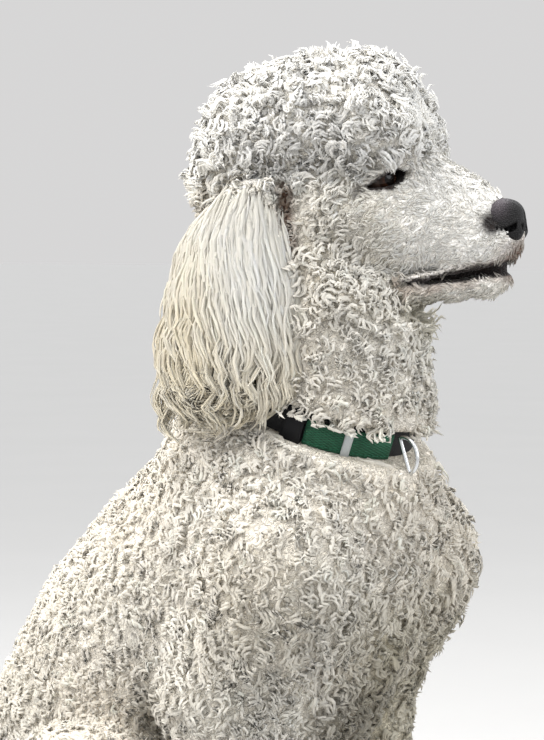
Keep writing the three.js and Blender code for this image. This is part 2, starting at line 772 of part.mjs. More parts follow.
function makeHead() {
  const parts = [...neckStretches, ...skullStretches];
  const bounds = boundsOf([...skullStretches, ...jawStretches], FACE_STEP);
  let solid = skinOf(flowing(parts), bounds, FACE_STEP).simplify(FACE_DETAIL);
  for (const side of Object.values(SIDES)) {
    for (const lid of lids(side)) solid = solid.add(lid);
    solid = solid.add(lip(side, UPPER_LIP, 0));
  }
  solid = within(solid, [...headRegion, opposite(topknotPlane)]);
  const frontJaw = [headRegion[0], jawBack];
  solid = solid.subtract(blockOf([...frontJaw, opposite(upperMouth)]));
  solid = solid.subtract(earBlocks()).subtract(blockOf(noseRoom)).subtract(noseSolid(GAP));
  for (const side of Object.values(SIDES)) {
    solid = solid.subtract(ball(EYE_RADIUS + GAP, eyeCentre(side), EYE_RINGS)).subtract(lidOpening(side));
  }
  return solid;
}

function makeJaw() {
  const parts = [...neckStretches, ...jawStretches];
  const bounds = boundsOf(jawStretches, FACE_STEP);
  let solid = skinOf(flowing(parts), bounds, FACE_STEP).simplify(FACE_DETAIL);
  for (const side of Object.values(SIDES)) solid = solid.add(lip(side, LOWER_LIP, 0));
  return within(solid, [headRegion[0], jawBack, lowerMouth, opposite(upperMouth)]);
}

function makeTopknot() {
  const bounds = boundsOf(topknotStretches, TOPKNOT_STEP);
  const core = flowing([...topknotChain(CORE_SHARE), ...skullStretches], CORE_SHARE);
  const tips = flowing([...topknotStretches, ...skullStretches]);
  const places = clumpPlaces(tips, core, bounds, TOPKNOT_SPACING, [topknotPlane], seededRandom(SEED));
  return within(curly(core, places, bounds, TOPKNOT_STEP), [topknotPlane]);
}

// A closed loft through rings of points, which may end in a single point
function loft(rings) {
  const sides = rings[0].length;
  const pointed = rings.at(-1).length === 1;
  const full = pointed ? rings.length - 1 : rings.length;
  const positions = rings.flat().flatMap((p) => p.toArray());
  const triangles = [];
  const last = (full - 1) * sides;
  for (let i = 0; i < sides; i += 1) {
    const next = (i + 1) % sides;
    for (let start = 0; start < last; start += sides) {
      const [a, b] = [start + i, start + next];
      triangles.push(a, b, b + sides, a, b + sides, a + sides);
    }
    if (pointed) triangles.push(last + i, last + next, last + sides);
  }
  for (let i = 1; i < sides - 1; i += 1) {
    triangles.push(0, i + 1, i);
    if (!pointed) triangles.push(last, last + i, last + i + 1);
  }
  const solid = solidFrom(positions, triangles);
  return solid.volume() > 0 ? solid : solidFrom(positions, triangles.slice().reverse());
}

// A point over the ear's root plane, from distance behind the nose tip, height and distance out from the plane
function overEar(side, behind, height, out) {
  const [{ point, inward }] = earRegion(side);
  const left = HEAD_LEFT.clone().multiplyScalar(side);
  const middle = inHead(behind, 0, height);
  const depth = point.clone().sub(middle).dot(inward) / left.dot(inward);
  return middle.addScaledVector(left, depth + out);
}

// One flat tapered lock that bends as it hangs
function earLock(side, root, tip, lift, random) {
  const width = LOCK_WIDTH * (0.85 + 0.3 * random());
  const phase = 2 * Math.PI * random();
  const place = (share, out) => {
    const sway = LOCK_SWAY * Math.sin(phase + 5.5 * share) * share;
    const behind = THREE.MathUtils.lerp(root[0], tip[0], share) + sway;
    return overEar(side, behind, THREE.MathUtils.lerp(root[1], tip[1], share), out);
  };
  const rings = LOCK_RINGS.map(([share, breadth, rise]) => {
    const half = (width * breadth) / 2;
    const middle = place(share, lift * rise);
    const thin = (LOCK_THICKNESS * breadth) / 2;
    const outwards = HEAD_LEFT.clone().multiplyScalar(side * thin);
    return [
      middle.clone().addScaledVector(HEAD_FORWARD, half),
      middle.clone().add(outwards),
      middle.clone().addScaledVector(HEAD_FORWARD, -half),
      middle.clone().sub(outwards),
    ];
  });
  rings.push([place(1, lift * 0.8)]);
  return loft(rings);
}

function earLocks(side, random) {
  const spread = ([from, to], share) => THREE.MathUtils.lerp(from, to, share);
  return LOCK_ROWS.flatMap(({ count, rootHeight, roots, tipHeight, tips, lift }) => (
    Array.from({ length: count }, (_, i) => {
      const share = (i + 0.3 * (random() - 0.5)) / (count - 1);
      const root = [spread(roots, share), rootHeight + 8 * (random() - 0.5)];
      const tip = [spread(tips, share), tipHeight + 16 * (random() - 0.5)];
      return earLock(side, root, tip, lift + 2 * random(), random);
    })
  ));
}

function makeEar(side) {
  const rings = LEATHER.map(([height, behind, breadth, thickness]) => (
    Array.from({ length: EAR_SIDES }, (_, i) => {
      const angle = (2 * Math.PI * i) / EAR_SIDES;
      return overEar(side, behind + breadth * Math.cos(angle), height, thickness * Math.sin(angle));
    })
  ));
  const random = seededRandom(SEED);
  const hair = wasm.Manifold.union([loft(rings), ...earLocks(side, random)]).simplify(FACE_DETAIL);
  const place = new THREE.Matrix4().makeBasis(HEAD_FORWARD, HEAD_LEFT, UP).scale(new THREE.Vector3(...CUP_HALF));
  const [behind, height] = CUP_PLACE;
  const cup = ball(1, overEar(side, behind, height, 0), 5, place);
  return within(hair, earRegion(side)).subtract(cup);
}

// Collar
function strapArc(innerRadius, outerRadius, low, high, fromAngle, toAngle) {
  const curveSegments = Math.ceil((toAngle - fromAngle) / ARC_STEP);
  const outline = new THREE.Shape();
  outline.absarc(0, 0, outerRadius, fromAngle, toAngle, false);
  outline.absarc(0, 0, innerRadius, toAngle, fromAngle, true);
  outline.closePath();
  const geometry = new THREE.ExtrudeGeometry(outline, {
    depth: high - low, bevelEnabled: false, curveSegments,
  });
  geometry.translate(0, 0, low);
  return solidOf(geometry, collarMatrix());
}
const degrees = THREE.MathUtils.degToRad;
const ARC_STEP = degrees(9);
const RIBBON_IN = COLLAR_RADIUS + STRAP_THICKNESS + GAP;
const RIBBON_OUT = RIBBON_IN + 1.6;

function makeStrap() {
  return bandSolid(COLLAR_RADIUS, COLLAR_RADIUS + STRAP_THICKNESS, -STRAP_WIDTH / 2, STRAP_WIDTH / 2);
}

function makeRibbon() {
  return strapArc(RIBBON_IN, RIBBON_OUT, -STRAP_WIDTH / 2 - 1, STRAP_WIDTH / 2 - 3, degrees(-64), degrees(-6));
}

function makeKeeper() {
  return strapArc(RIBBON_OUT + GAP, RIBBON_OUT + GAP + 1.5, -STRAP_WIDTH / 2 - 1.5, STRAP_WIDTH / 2 - 2,
    degrees(-40), degrees(-35));
}

function makeSlider() {
  return strapArc(RIBBON_IN, RIBBON_IN + 4, -STRAP_WIDTH / 2 - 3, STRAP_WIDTH / 2 + 3, degrees(-78), degrees(-65));
}

function makeBuckle() {
  return strapArc(RIBBON_IN, RIBBON_IN + 5, -STRAP_WIDTH / 2 - 2, STRAP_WIDTH / 2 + 2, degrees(70), degrees(96));
}

// The room that the collar takes in the coat, and the room of the ring that stands out from it
function collarGroove() {
  const half = STRAP_WIDTH / 2 + GROOVE_MARGIN;
  return bandSolid(COLLAR_RADIUS - GAP, COLLAR_RADIUS + GROOVE_DEPTH, -half, half, 28);
}

// The ring's own frame: its bar runs along Y, its bow lies towards -Z, and its foot leans away from the strap
function ringMatrix() {
  const away = RIBBON_OUT + RING_WIRE + GAP + RING_RADIUS * Math.sin(-RING_LEAN);
  return collarMatrix()
    .multiply(new THREE.Matrix4().makeRotationZ(RING_ANGLE))
    .multiply(new THREE.Matrix4().makeTranslation(away, 0, -4))
    .multiply(new THREE.Matrix4().makeRotationY(RING_LEAN))
    .multiply(new THREE.Matrix4().makeRotationZ(-Math.PI / 2))
    .multiply(new THREE.Matrix4().makeRotationX(Math.PI / 2));
}

function ringPocket() {
  const pocket = new THREE.BoxGeometry(2 * RING_WIRE + 2, 2 * (RING_RADIUS + RING_WIRE) + 2, GROOVE_DEPTH);
  pocket.translate(0, 0, RING_WIRE + 1 - GROOVE_DEPTH / 2);
  return solidOf(pocket, ringMatrix());
}

function makeDRing() {
  const points = [];
  for (let i = 0; i <= 12; i += 1) {
    const angle = Math.PI * (i / 12);
    points.push(new THREE.Vector3(0, RING_RADIUS * Math.cos(angle), -RING_BULGE * Math.sin(angle)));
  }
  const bow = bead(points, RING_WIRE, 14);
  const bar = bead([points[0], points[12]], RING_WIRE, 1);
  return bow.add(bar).transform(ringMatrix().toArray());
}

function addNode(group, name, solid, finish) {
  const { vertProperties, triVerts } = largest(solid).getMesh();
  const geometry = new THREE.BufferGeometry();
  geometry.setAttribute('position', new THREE.BufferAttribute(new Float32Array(vertProperties), 3));
  geometry.setIndex(new THREE.BufferAttribute(new Uint32Array(triVerts), 1));
  const mesh = new THREE.Mesh(geometry, new THREE.MeshStandardMaterial(FINISHES[finish]));
  mesh.name = name;
  group.add(mesh);
}

const poodle = new THREE.Group();
addNode(poodle, 'torso', makeTorso(), 'coat');
addNode(poodle, 'neck', makeNeck(), 'coat');
addNode(poodle, 'head', makeHead(), 'coat');
addNode(poodle, 'lower_jaw', makeJaw(), 'coat');
addNode(poodle, 'topknot', makeTopknot(), 'coat');
addNode(poodle, 'nose', makeNose(), 'nosePad');
addNode(poodle, 'tail', makeLimb([...tailStretches, pom], tailRegion), 'coat');
for (const [name, side] of Object.entries(SIDES)) {
  addNode(poodle, `ear_${name}`, makeEar(side), 'earCoat');
  addNode(poodle, `eye_${name}`, ball(EYE_RADIUS, eyeCentre(side), EYE_RINGS), 'eye');
  addNode(poodle, `fore_leg_${name}`, makeLimb(legsOf[name][0], foreLegRegion(side)), 'coat');
  addNode(poodle, `hind_leg_${name}`, makeLimb(legsOf[name][1], hindLegRegion(side)), 'coat');
}
addNode(poodle, 'collar_strap', makeStrap(), 'webbing');
addNode(poodle, 'collar_ribbon', makeRibbon(), 'ribbon');
addNode(poodle, 'collar_keeper', makeKeeper(), 'steel');
addNode(poodle, 'collar_slider', makeSlider(), 'blackPlastic');
addNode(poodle, 'collar_buckle', makeBuckle(), 'blackPlastic');
addNode(poodle, 'collar_d_ring', makeDRing(), 'steel');

// The origin is on the floor under the middle of the dog's box
const middle = new THREE.Box3().setFromObject(poodle).getCenter(new THREE.Vector3());
poodle.position.set(-middle.x, -middle.y, 0);

export default poodle;
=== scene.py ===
# A standard poodle that sits with its head turned to its left, as a life-size still model.
# Body shapes are worked out in millimetres, with +X the way the chest faces, +Y the dog's left, +Z up and
# the floor at z = 0, and are scaled to metres when a mesh is made.
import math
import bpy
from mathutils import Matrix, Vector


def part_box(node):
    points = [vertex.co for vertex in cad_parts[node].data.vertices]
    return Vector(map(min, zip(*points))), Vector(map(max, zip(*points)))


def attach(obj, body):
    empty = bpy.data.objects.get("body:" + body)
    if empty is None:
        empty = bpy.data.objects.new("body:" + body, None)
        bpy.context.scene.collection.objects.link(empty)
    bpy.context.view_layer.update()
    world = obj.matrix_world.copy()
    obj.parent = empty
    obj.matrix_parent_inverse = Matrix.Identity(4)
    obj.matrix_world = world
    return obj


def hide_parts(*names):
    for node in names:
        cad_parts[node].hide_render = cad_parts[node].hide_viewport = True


bl_info = {
    "name": "Sitting Poodle",
    "version": (1, 0, 0),
    "blender": (4, 5, 0),
    "location": "3D Viewport > Sidebar > Poodle",
    "description": "Skin, coat, face and collar of a sitting standard poodle",
    "category": "Add Mesh",
}

import bmesh
import bpy
import numpy as np
from bpy.props import FloatProperty, FloatVectorProperty, IntProperty, PointerProperty
from mathutils import Matrix, Vector
from mathutils.kdtree import KDTree

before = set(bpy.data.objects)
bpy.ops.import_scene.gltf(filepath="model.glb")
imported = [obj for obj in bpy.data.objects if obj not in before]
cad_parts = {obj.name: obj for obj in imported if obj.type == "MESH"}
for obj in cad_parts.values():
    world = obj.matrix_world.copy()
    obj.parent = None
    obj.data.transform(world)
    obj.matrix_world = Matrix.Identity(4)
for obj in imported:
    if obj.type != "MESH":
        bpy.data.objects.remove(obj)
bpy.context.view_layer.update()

MM = 0.001

# The head turns about an upright axis in the middle of the neck
HEAD_TURN = math.radians(25)
HEAD_AXIS_X = 35.0
NOSE_TO_AXIS = 158.6
HEAD_FORWARD = np.array([math.cos(HEAD_TURN), math.sin(HEAD_TURN), 0.0])
HEAD_LEFT = np.array([-math.sin(HEAD_TURN), math.cos(HEAD_TURN), 0.0])
ACROSS = np.array([0.0, 1.0, 0.0])
UP = np.array([0.0, 0.0, 1.0])

# Trunk, neck and tail stations: x, z, half depth, half width
TORSO = [
    (-186, 56, 44, 50), (-182, 120, 58, 60), (-170, 190, 70, 66), (-146, 252, 84, 72),
    (-100, 302, 94, 80), (-46, 347, 98, 82), (4, 397, 92, 74), (36, 440, 78, 60),
]
NECK = [(38, 440, 74, 60), (48, 500, 56, 50), (46, 560, 52, 45), (34, 615, 46, 40)]
TAIL = [(-215, 118, 20, 20), (-262, 112, 15, 15), (-318, 128, 12, 12), (-352, 156, 10, 10)]

# Head stations: distance behind the nose tip, top, bottom, half width
SKULL = [
    (28, 645, 601, 17), (44, 657, 594, 23), (62, 667, 591, 27), (80, 676, 588, 32), (100, 685, 586, 40),
    (122, 692, 584, 46), (148, 693, 586, 48), (172, 686, 596, 45), (190, 672, 612, 36),
]
JAW = [
    (22, 596, 584, 10), (32, 595, 580, 15), (54, 592, 578, 19), (80, 593, 577, 25),
    (110, 600, 575, 32), (132, 612, 573, 36),
]
# Topknot stations: distance behind the nose tip, height, half depth, half width
TOPKNOT = [
    (98, 686, 26, 42), (118, 699, 38, 52), (150, 697, 42, 54), (184, 686, 43, 50), (203, 658, 37, 44),
]
# The surface that the topknot's curls stand on, as a share of its size
TOPKNOT_CORE = 0.8
# A coat deeper than this stands on woolly ground, which takes up this share of its depth
DEEP_COAT = 8
WOOL_SHARE = 0.76
# Ear leather stations: distance behind the nose tip, height, half breadth, half thickness
LEATHER = [(186, 646, 14, 4), (191, 626, 25, 4), (196, 600, 33, 4), (198, 572, 31, 3.5)]
# The outline of the ear's hair: height, distance behind the nose tip, half breadth, depth
EAR_OUTLINE = np.array([
    (668, 190, 14, 10), (650, 191, 20, 15), (618, 197, 36, 20), (577, 197, 47, 23),
    (543, 198, 51, 24), (510, 199, 49, 22), (488, 204, 38, 17), (475, 206, 20, 10),
], float)
# Places of the head: distance behind the nose tip, towards the dog's left, height
EAR_TOP = (190, 50, 668)
EAR_LOW = (190, 74, 480)
EAR_FOLD = [(164, 50, 654), (163, 54, 630), (156, 56, 604)]
EYE_PLACE = (102, 28.5, 660)
NOSE_PLACE = (20.5, 0, 628)
WING_PLACE = (26, 17, 629)
UPPER_LIP = [(17, 3, 605), (22, 11, 604), (34, 18, 601), (52, 22, 597), (70, 27, 592.5), (86, 33, 590.5)]
LOWER_LIP = [(18, 2, 592), (23, 9, 591.5), (35, 15, 589.5), (54, 19, 586.5), (72, 24, 584.5), (88, 30, 584.5)]

EYE_RADIUS = 11.5
EYE_TURN = math.radians(38)
# How far the lids stand over the eyeball, and the room left round it
LID_THICKNESS = 2.4
EYE_ROOM = 0.25
# The nose leather's form: middle behind the nose tip and above the floor, then half length, width and height
NOSE_MIDDLE = (22.5, 630.6)
NOSE_HALF = (17.0, 18.2, 16.4)
# How far the dark leather beside a nostril reaches, and how far from it no hair grows
WING_REACH = 12
WING_BARE = 8

COLLAR_PLACE = (52, 500)
COLLAR_TILT = math.radians(20)
COLLAR_RADIUS = 62.0
STRAP_WIDTH = 20.0
STRAP_THICKNESS = 2.0
RIBBON_IN = COLLAR_RADIUS + STRAP_THICKNESS + 0.3
RIBBON_OUT = RIBBON_IN + 1.6
RING_RADIUS = 13.0
RING_WIRE = 1.4
RING_BULGE = 11.0
RING_ANGLE = math.radians(-3)
RING_LEAN = math.radians(-41)

SIDES = {"right": -1, "left": 1}
BOTH = tuple(SIDES.values())


def in_head(behind, left, height):
    """A point of the head: behind the nose tip, towards the dog's left, above the floor."""
    point = HEAD_FORWARD * (NOSE_TO_AXIS - behind) + HEAD_LEFT * left
    return np.array([HEAD_AXIS_X + point[0], point[1], height])


def on_side(place, side):
    """A place of the head's left, or its mirror image on the right."""
    behind, left, height = place
    return in_head(behind, side * left, height)


def shift_of_frame():
    """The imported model's shift in millimetres, read from where its right eye is."""
    low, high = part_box("eye_right")
    centre = (np.array(low) + np.array(high)) / 2 / MM
    return centre - on_side(EYE_PLACE, -1)


SHIFT = shift_of_frame()
SHIFT[2] = 0.0


# Body field

def stretch(start, end, depth, width, coat, blend, across=ACROSS):
    """An elliptic cone between two points, round at both ends, with the coat's depth and its blending."""
    coat = (coat, coat) if np.isscalar(coat) else coat
    return {
        "start": np.array(start, np.float32), "axis": np.array(end, np.float32) - np.array(start, np.float32),
        "depth": depth, "width": width, "coat": coat, "blend": blend, "across": np.array(across, np.float32),
    }


def chain(places, depths, widths, coat, blend, across=ACROSS):
    """Stretches from each place to the next."""
    return [
        stretch(places[i], places[i + 1], depths[i:i + 2], widths[i:i + 2], coat, blend, across)
        for i in range(len(places) - 1)
    ]


def trunk_chain(stations, coat, blend):
    x, z, depths, widths = zip(*stations)
    return chain([(a, 0, b) for a, b in zip(x, z)], depths, widths, coat, blend)


def head_chain(stations, coat, blend):
    places = [in_head(behind, 0, (top + bottom) / 2) for behind, top, bottom, _ in stations]
    depths = [(top - bottom) / 2 for _, top, bottom, _ in stations]
    return chain(places, depths, [row[3] for row in stations], coat, blend, HEAD_LEFT)


def topknot_chain(share):
    """The topknot, thinned by a share of its depth for the surface that its curls stand on."""
    places = [in_head(behind, 0, height) for behind, height, _, _ in TOPKNOT]
    widths = [row[3] * (1 + 2 * share) / 3 for row in TOPKNOT]
    return chain(places, [row[2] * share for row in TOPKNOT], widths, 12, 16, HEAD_LEFT) + [
        stretch(on_side((112, 36, 692), side), on_side((90, 36, 689), side), (24 * share, 14 * share),
                (18 * share, 12 * share), 12, 12, HEAD_LEFT)
        for side in BOTH
    ]


def shoulder(side):
    return [
        stretch((4, side * 44, 462), (60, side * 64, 392), (38, 40), (24, 28), 18, 24),
        stretch((62, side * 66, 390), (18, side * 66, 298), (40, 32), (30, 28), 18, 24),
    ]


def fore_leg(side):
    y = side * 62
    return [
        stretch((18, side * 66, 300), (30, side * 63, 220), (33, 24), (30, 23), 16, 14),
        stretch((30, side * 63, 220), (37, y, 110), (24, 20), (23, 20), 16, 14),
        stretch((37, y, 110), (40, y, 60), (20, 19), (20, 19), 16, 14),
        stretch((40, y, 60), (48, y, 28), (17, 18), (17, 18), (10, 5), 10),
        stretch((50, y, 20), (62, y, 16), (17, 14), (19, 18), 4, 8),
    ] + toes(FORE_PAW, side)


def hind_leg(side):
    return [
        stretch((-172, side * 62, 150), (-94, side * 100, 206), (72, 50), (44, 38), 15, 22),
        stretch((-94, side * 100, 206), (-68, side * 112, 224), (50, 37), (38, 34), 16, 16),
        stretch((-70, side * 114, 216), (-168, side * 108, 80), (38, 24), (32, 24), 16, 14),
        stretch((-172, side * 108, 78), (-180, side * 108, 42), (20, 19), (20, 18), 13, 12),
        stretch((-178, side * 108, 31), (-60, side * 114, 27), (19, 16), (18, 17), 12, 12),
        stretch((-52, side * 114, 20), (-32, side * 115, 16), (17, 14), (19, 18), 4, 8),
    ] + toes(HIND_PAW, side)


# The middle of a paw's toes: x, y
FORE_PAW = (66, 62)
HIND_PAW = (-28, 115)
# Toes across a paw: sideways place, forward reach
TOES = [(-15, -3), (-5.3, 3), (5.3, 3), (15, -3)]


def toes(paw, side):
    x, y = paw[0], side * paw[1]
    return [
        stretch((x + ahead - 10, y + place * 0.8, 16.5), (x + ahead + 3, y + place, 11.5),
                (10, 9), (6.6, 6.2), 4, 2.5)
        for place, ahead in TOES
    ]


def lip(line, side, radius):
    radii = [radius] * len(line)
    return chain([on_side(place, side) for place in line], radii, radii, 1.5, 3, HEAD_LEFT)


def ear_plane(side):
    """The plane that an ear hangs on: a point of it and the way out."""
    top, low = on_side(EAR_TOP, side), on_side(EAR_LOW, side)
    out = np.cross(low - top, HEAD_FORWARD) * -side
    return top, out / np.linalg.norm(out)


def over_ear(side, behind, height, out):
    """Points over an ear's plane, from distance behind the nose tip, height and distance out."""
    point, normal = ear_plane(side)
    behind, height, out = np.broadcast_arrays(behind, height, out)
    middle = HEAD_FORWARD * (NOSE_TO_AXIS - behind)[..., None] + UP * height[..., None]
    middle = middle + np.array([HEAD_AXIS_X, 0, 0])
    left = HEAD_LEFT * side
    depth = (point - middle) @ normal / (left @ normal)
    return middle + left * (depth + out)[..., None]


def leather(side):
    """The thin flap of an ear."""
    _, normal = ear_plane(side)
    places = [over_ear(side, behind, height, 5.0) for behind, height, _, _ in LEATHER]
    return chain(places, [row[2] for row in LEATHER], [row[3] for row in LEATHER], 2, 6, normal)


BREAST = [
    stretch((44, 0, 366), (62, 0, 400), (44, 38), (50, 46), 20, 26),
    stretch((28, 0, 300), (54, 0, 360), (36, 40), (44, 48), 20, 25),
]
NECK_PARTS = trunk_chain(NECK, 20, 22)
WHOLE_PARTS = trunk_chain(TORSO, 15, 20) + BREAST + shoulder(-1) + shoulder(1) + NECK_PARTS
POM = [stretch((-352, 0, 150), (-378, 0, 172), (20, 20), (20, 20), 34, 12)]
LIMBS = [fore_leg(-1), fore_leg(1), hind_leg(-1), hind_leg(1), trunk_chain(TAIL, 8, 12) + POM]
SKULL_PARTS = head_chain(SKULL, 2.5, 8)
JAW_PARTS = head_chain(JAW, 2.5, 8)


def distance_to(part, points):
    """Signed distance from points to one stretch, and how far along it they are."""
    axis = part["axis"]
    apart = points - part["start"]
    along = np.clip(apart @ axis / float(axis @ axis), 0, 1)
    apart = apart - along[:, None] * axis
    sideways = apart @ part["across"]
    square = np.maximum((apart * apart).sum(1) - sideways * sideways, 0)
    depth = part["depth"][0] + (part["depth"][1] - part["depth"][0]) * along
    width = part["width"][0] + (part["width"][1] - part["width"][0]) * along
    near = np.sqrt((sideways / width) ** 2 + square / depth ** 2)
    slope = np.sqrt((sideways / width ** 2) ** 2 + square / depth ** 4) + 1e-6
    return near * (near - 1) / slope, along


class Reading:
    """Distances from a set of points to stretches, each worked out once."""

    def __init__(self, points):
        self.points = points.astype(np.float32)
        self.known = {}

    def flowing(self, parts, share):
        """The field of stretches that flow into one another, with a share of their coats laid over them."""
        best = np.full(len(self.points), 1000, np.float32)
        weights = np.zeros(len(self.points), np.float32)
        coats = np.zeros(len(self.points), np.float32)
        for part in parts:
            key = id(part)
            if key not in self.known:
                self.known[key] = distance_to(part, self.points)
            distance, along = self.known[key]
            weight = np.exp(-np.clip(distance, -10, 60) / 9)
            weights += weight
            coat = part["coat"][0] + (part["coat"][1] - part["coat"][0]) * along
            coats += weight * np.where(coat > DEEP_COAT, coat * share, coat if share == 1 else 0)
            overlap = np.maximum(part["blend"] - np.abs(best - distance), 0) / part["blend"]
            best = np.minimum(best, distance) - overlap * overlap * part["blend"] / 4
        return best - coats / np.maximum(weights, 1e-9)


TOPKNOT_TIPS = topknot_chain(1)
TOPKNOT_SKIN = topknot_chain(TOPKNOT_CORE)
LIPS = [part for side in BOTH for part in lip(UPPER_LIP, side, 2.3)]
LOWER_LIPS = [part for side in BOTH for part in lip(LOWER_LIP, side, 2.2)]
MOUTH_CORE = [stretch(in_head(26, 0, 599), in_head(84, 0, 591), (8, 12), (6, 17), 0, 4, HEAD_LEFT)]
# Whisker pads, cheeks and brows: two places of the head, half depths, half widths
FACE_STATIONS = [
    ((26, 9, 615), (46, 14, 612), (13, 15), (9, 11)),
    ((108, 33, 640), (136, 38, 636), (14, 20), (9, 12)),
    ((98, 23, 677), (124, 33, 680), (9, 12), (11, 14)),
]
FACE_FORMS = [
    stretch(on_side(start, side), on_side(end, side), depths, widths, 0, 8, HEAD_LEFT)
    for side in BOTH for start, end, depths, widths in FACE_STATIONS
]
EARS = {side: leather(side) for side in BOTH}


def head_coordinates(points):
    """Points as distance behind the nose tip, towards the dog's left, and height."""
    flat = points - np.array([HEAD_AXIS_X, 0, 0], np.float32)
    return NOSE_TO_AXIS - flat @ HEAD_FORWARD, flat @ HEAD_LEFT, points[:, 2]


# The open mouth: its front and its corner behind the nose tip, the heights of its edges at the front, and how
# they fall towards the corner
MOUTH_FRONT, MOUTH_CORNER = 15, 84
MOUTH_TOP, MOUTH_LOW = 603.0, 595.0
TOP_FALL, LOW_FALL = 12.8 / 70, 7.5 / 55


def mouth_gap(points):
    """The open mouth between the lips, negative inside."""
    behind, _, height = head_coordinates(points)
    top = MOUTH_TOP - (behind - MOUTH_FRONT) * TOP_FALL
    low = MOUTH_LOW - np.clip(behind - MOUTH_FRONT, 0, 55) * LOW_FALL
    return np.maximum(np.maximum(height - top, low - height), behind - MOUTH_CORNER)


def eye_frame(side):
    """One eye's middle, and its own ways out along the gaze, backwards along the lids, and up."""
    centre = on_side(EYE_PLACE, side)
    gaze = HEAD_FORWARD * math.cos(EYE_TURN) + HEAD_LEFT * side * math.sin(EYE_TURN)
    back = np.cross(gaze, UP) * -side
    return centre, gaze, back


# How the lids' opening rises towards the nose, and its half length, rise and drop
LID_SLANT = math.radians(22)
OPENING = (16.5, 4.5, 4.0)


def eye_opening(side, points):
    """The opening between the lids, negative inside, as a slanted almond carried out along the gaze."""
    centre, gaze, back = eye_frame(side)
    apart = points - centre
    back_part, up_part, out = apart @ back, apart @ UP, apart @ gaze
    lengthwise = back_part * math.cos(LID_SLANT) - up_part * math.sin(LID_SLANT)
    upright = back_part * math.sin(LID_SLANT) + up_part * math.cos(LID_SLANT)
    half, rise, drop = OPENING
    share = np.clip(1 - (lengthwise / half) ** 2, 0, 1)
    limit = np.where(upright > 0, rise * share, drop * share)
    almond = np.maximum(np.abs(upright) - limit, np.abs(lengthwise) - half)
    return np.maximum(almond, -out), np.linalg.norm(apart, axis=1)


def in_collar(points):
    """Points as the way round the collar's ring, distance from its axis and height above its middle."""
    x, y, z = points[..., 0] - COLLAR_PLACE[0], points[..., 1], points[..., 2] - COLLAR_PLACE[1]
    level = x * math.cos(COLLAR_TILT) - z * math.sin(COLLAR_TILT)
    height = x * math.sin(COLLAR_TILT) + z * math.cos(COLLAR_TILT)
    return np.arctan2(y, level), np.hypot(level, y), height


# The room round the collar: under it, above and below it, and the radius at which it ends
ROOM_UNDER, ROOM_BESIDE, ROOM_END = 1.2, 1.5, 84


def collar_groove(points):
    """The room that the collar presses into the coat, positive inside."""
    _, radius, height = in_collar(points)
    level = STRAP_WIDTH / 2 + ROOM_BESIDE - np.abs(height)
    return np.minimum(np.minimum(radius - COLLAR_RADIUS + ROOM_UNDER, level), ROOM_END - radius)


def joined(field, other, blend):
    """Two fields run together over a rounded inner corner."""
    overlap = np.maximum(blend - np.abs(field - other), 0) / blend
    return np.minimum(field, other) - overlap * overlap * blend / 4


def head_field(points):
    """The skin of the head with lids, lips and ear leathers, negative inside."""
    reading = Reading(points)
    skull = reading.flowing(NECK_PARTS + SKULL_PARTS + TOPKNOT_SKIN, WOOL_SHARE)
    skull = joined(skull, reading.flowing(FACE_FORMS, 0), 10)
    for side in BOTH:
        _, far = eye_opening(side, points)
        skull = joined(skull, far - (EYE_RADIUS + LID_THICKNESS), 7)
    jaw = reading.flowing(NECK_PARTS + JAW_PARTS, WOOL_SHARE)
    field = np.minimum(skull, jaw)
    field = np.maximum(field, -np.maximum(mouth_gap(points), -(field + 8)))
    field = np.minimum(field, reading.flowing(MOUTH_CORE, 0))
    field = joined(field, np.minimum(reading.flowing(LIPS, 0), reading.flowing(LOWER_LIPS, 0)), 4)
    field = np.maximum(field, nose_seat(points))
    for side in BOTH:
        field = joined(field, reading.flowing(EARS[side], 0), 8)
        opening, far = eye_opening(side, points)
        field = np.maximum(field, (EYE_RADIUS + EYE_ROOM) - far)
        field = np.maximum(field, -opening)
    return field


def rounded(a, b, c, power=2.6):
    """How far out points are in a rounded box that is fuller than an ellipsoid, 1 at its surface."""
    return (np.abs(a) ** power + np.abs(b) ** power + np.abs(c) ** power + 1e-6) ** (1 / power)


def nose_form(points):
    """The nose leather's rounded form, narrower below, negative inside."""
    behind, left, height = head_coordinates(points)
    taper = 1 - np.clip(NOSE_PLACE[2] - 4 - height, 0, 12) * 0.022
    length, width, rise = NOSE_HALF
    level = (height - NOSE_MIDDLE[1]) / rise
    return (rounded((behind - NOSE_MIDDLE[0]) / length, left / (width * taper), level) - 1) * 16


def nose_seat(points):
    """The room that the nose leather takes out of the muzzle's end, positive inside."""
    return -0.8 - nose_form(points)


def body_field(points):
    """The woolly ground of the trunk, limbs and tail, negative inside."""
    reading = Reading(points)
    field = np.full(len(points), 1000, np.float32)
    for limb in LIMBS:
        field = np.minimum(field, reading.flowing(WHOLE_PARTS + limb, WOOL_SHARE))
    field = np.maximum(field, collar_groove(points))
    return np.maximum(field, 0.2 - points[:, 2])


def tips_field(points):
    """The surface of the coat's tips, negative inside."""
    reading = Reading(points)
    field = reading.flowing(WHOLE_PARTS + SKULL_PARTS + TOPKNOT_TIPS, 1)
    for limb in LIMBS:
        field = np.minimum(field, reading.flowing(WHOLE_PARTS + limb, 1))
    return np.minimum(field, reading.flowing(NECK_PARTS + JAW_PARTS, 1))


def gradient_of(field, points, reach=0.5):
    slopes = []
    for way in np.eye(3, dtype=np.float32) * reach:
        slopes.append((field(points + way) - field(points - way)) / (2 * reach))
    return np.stack(slopes, 1)


# How many steps of the close grid make one of the rough grid
COARSE = 4


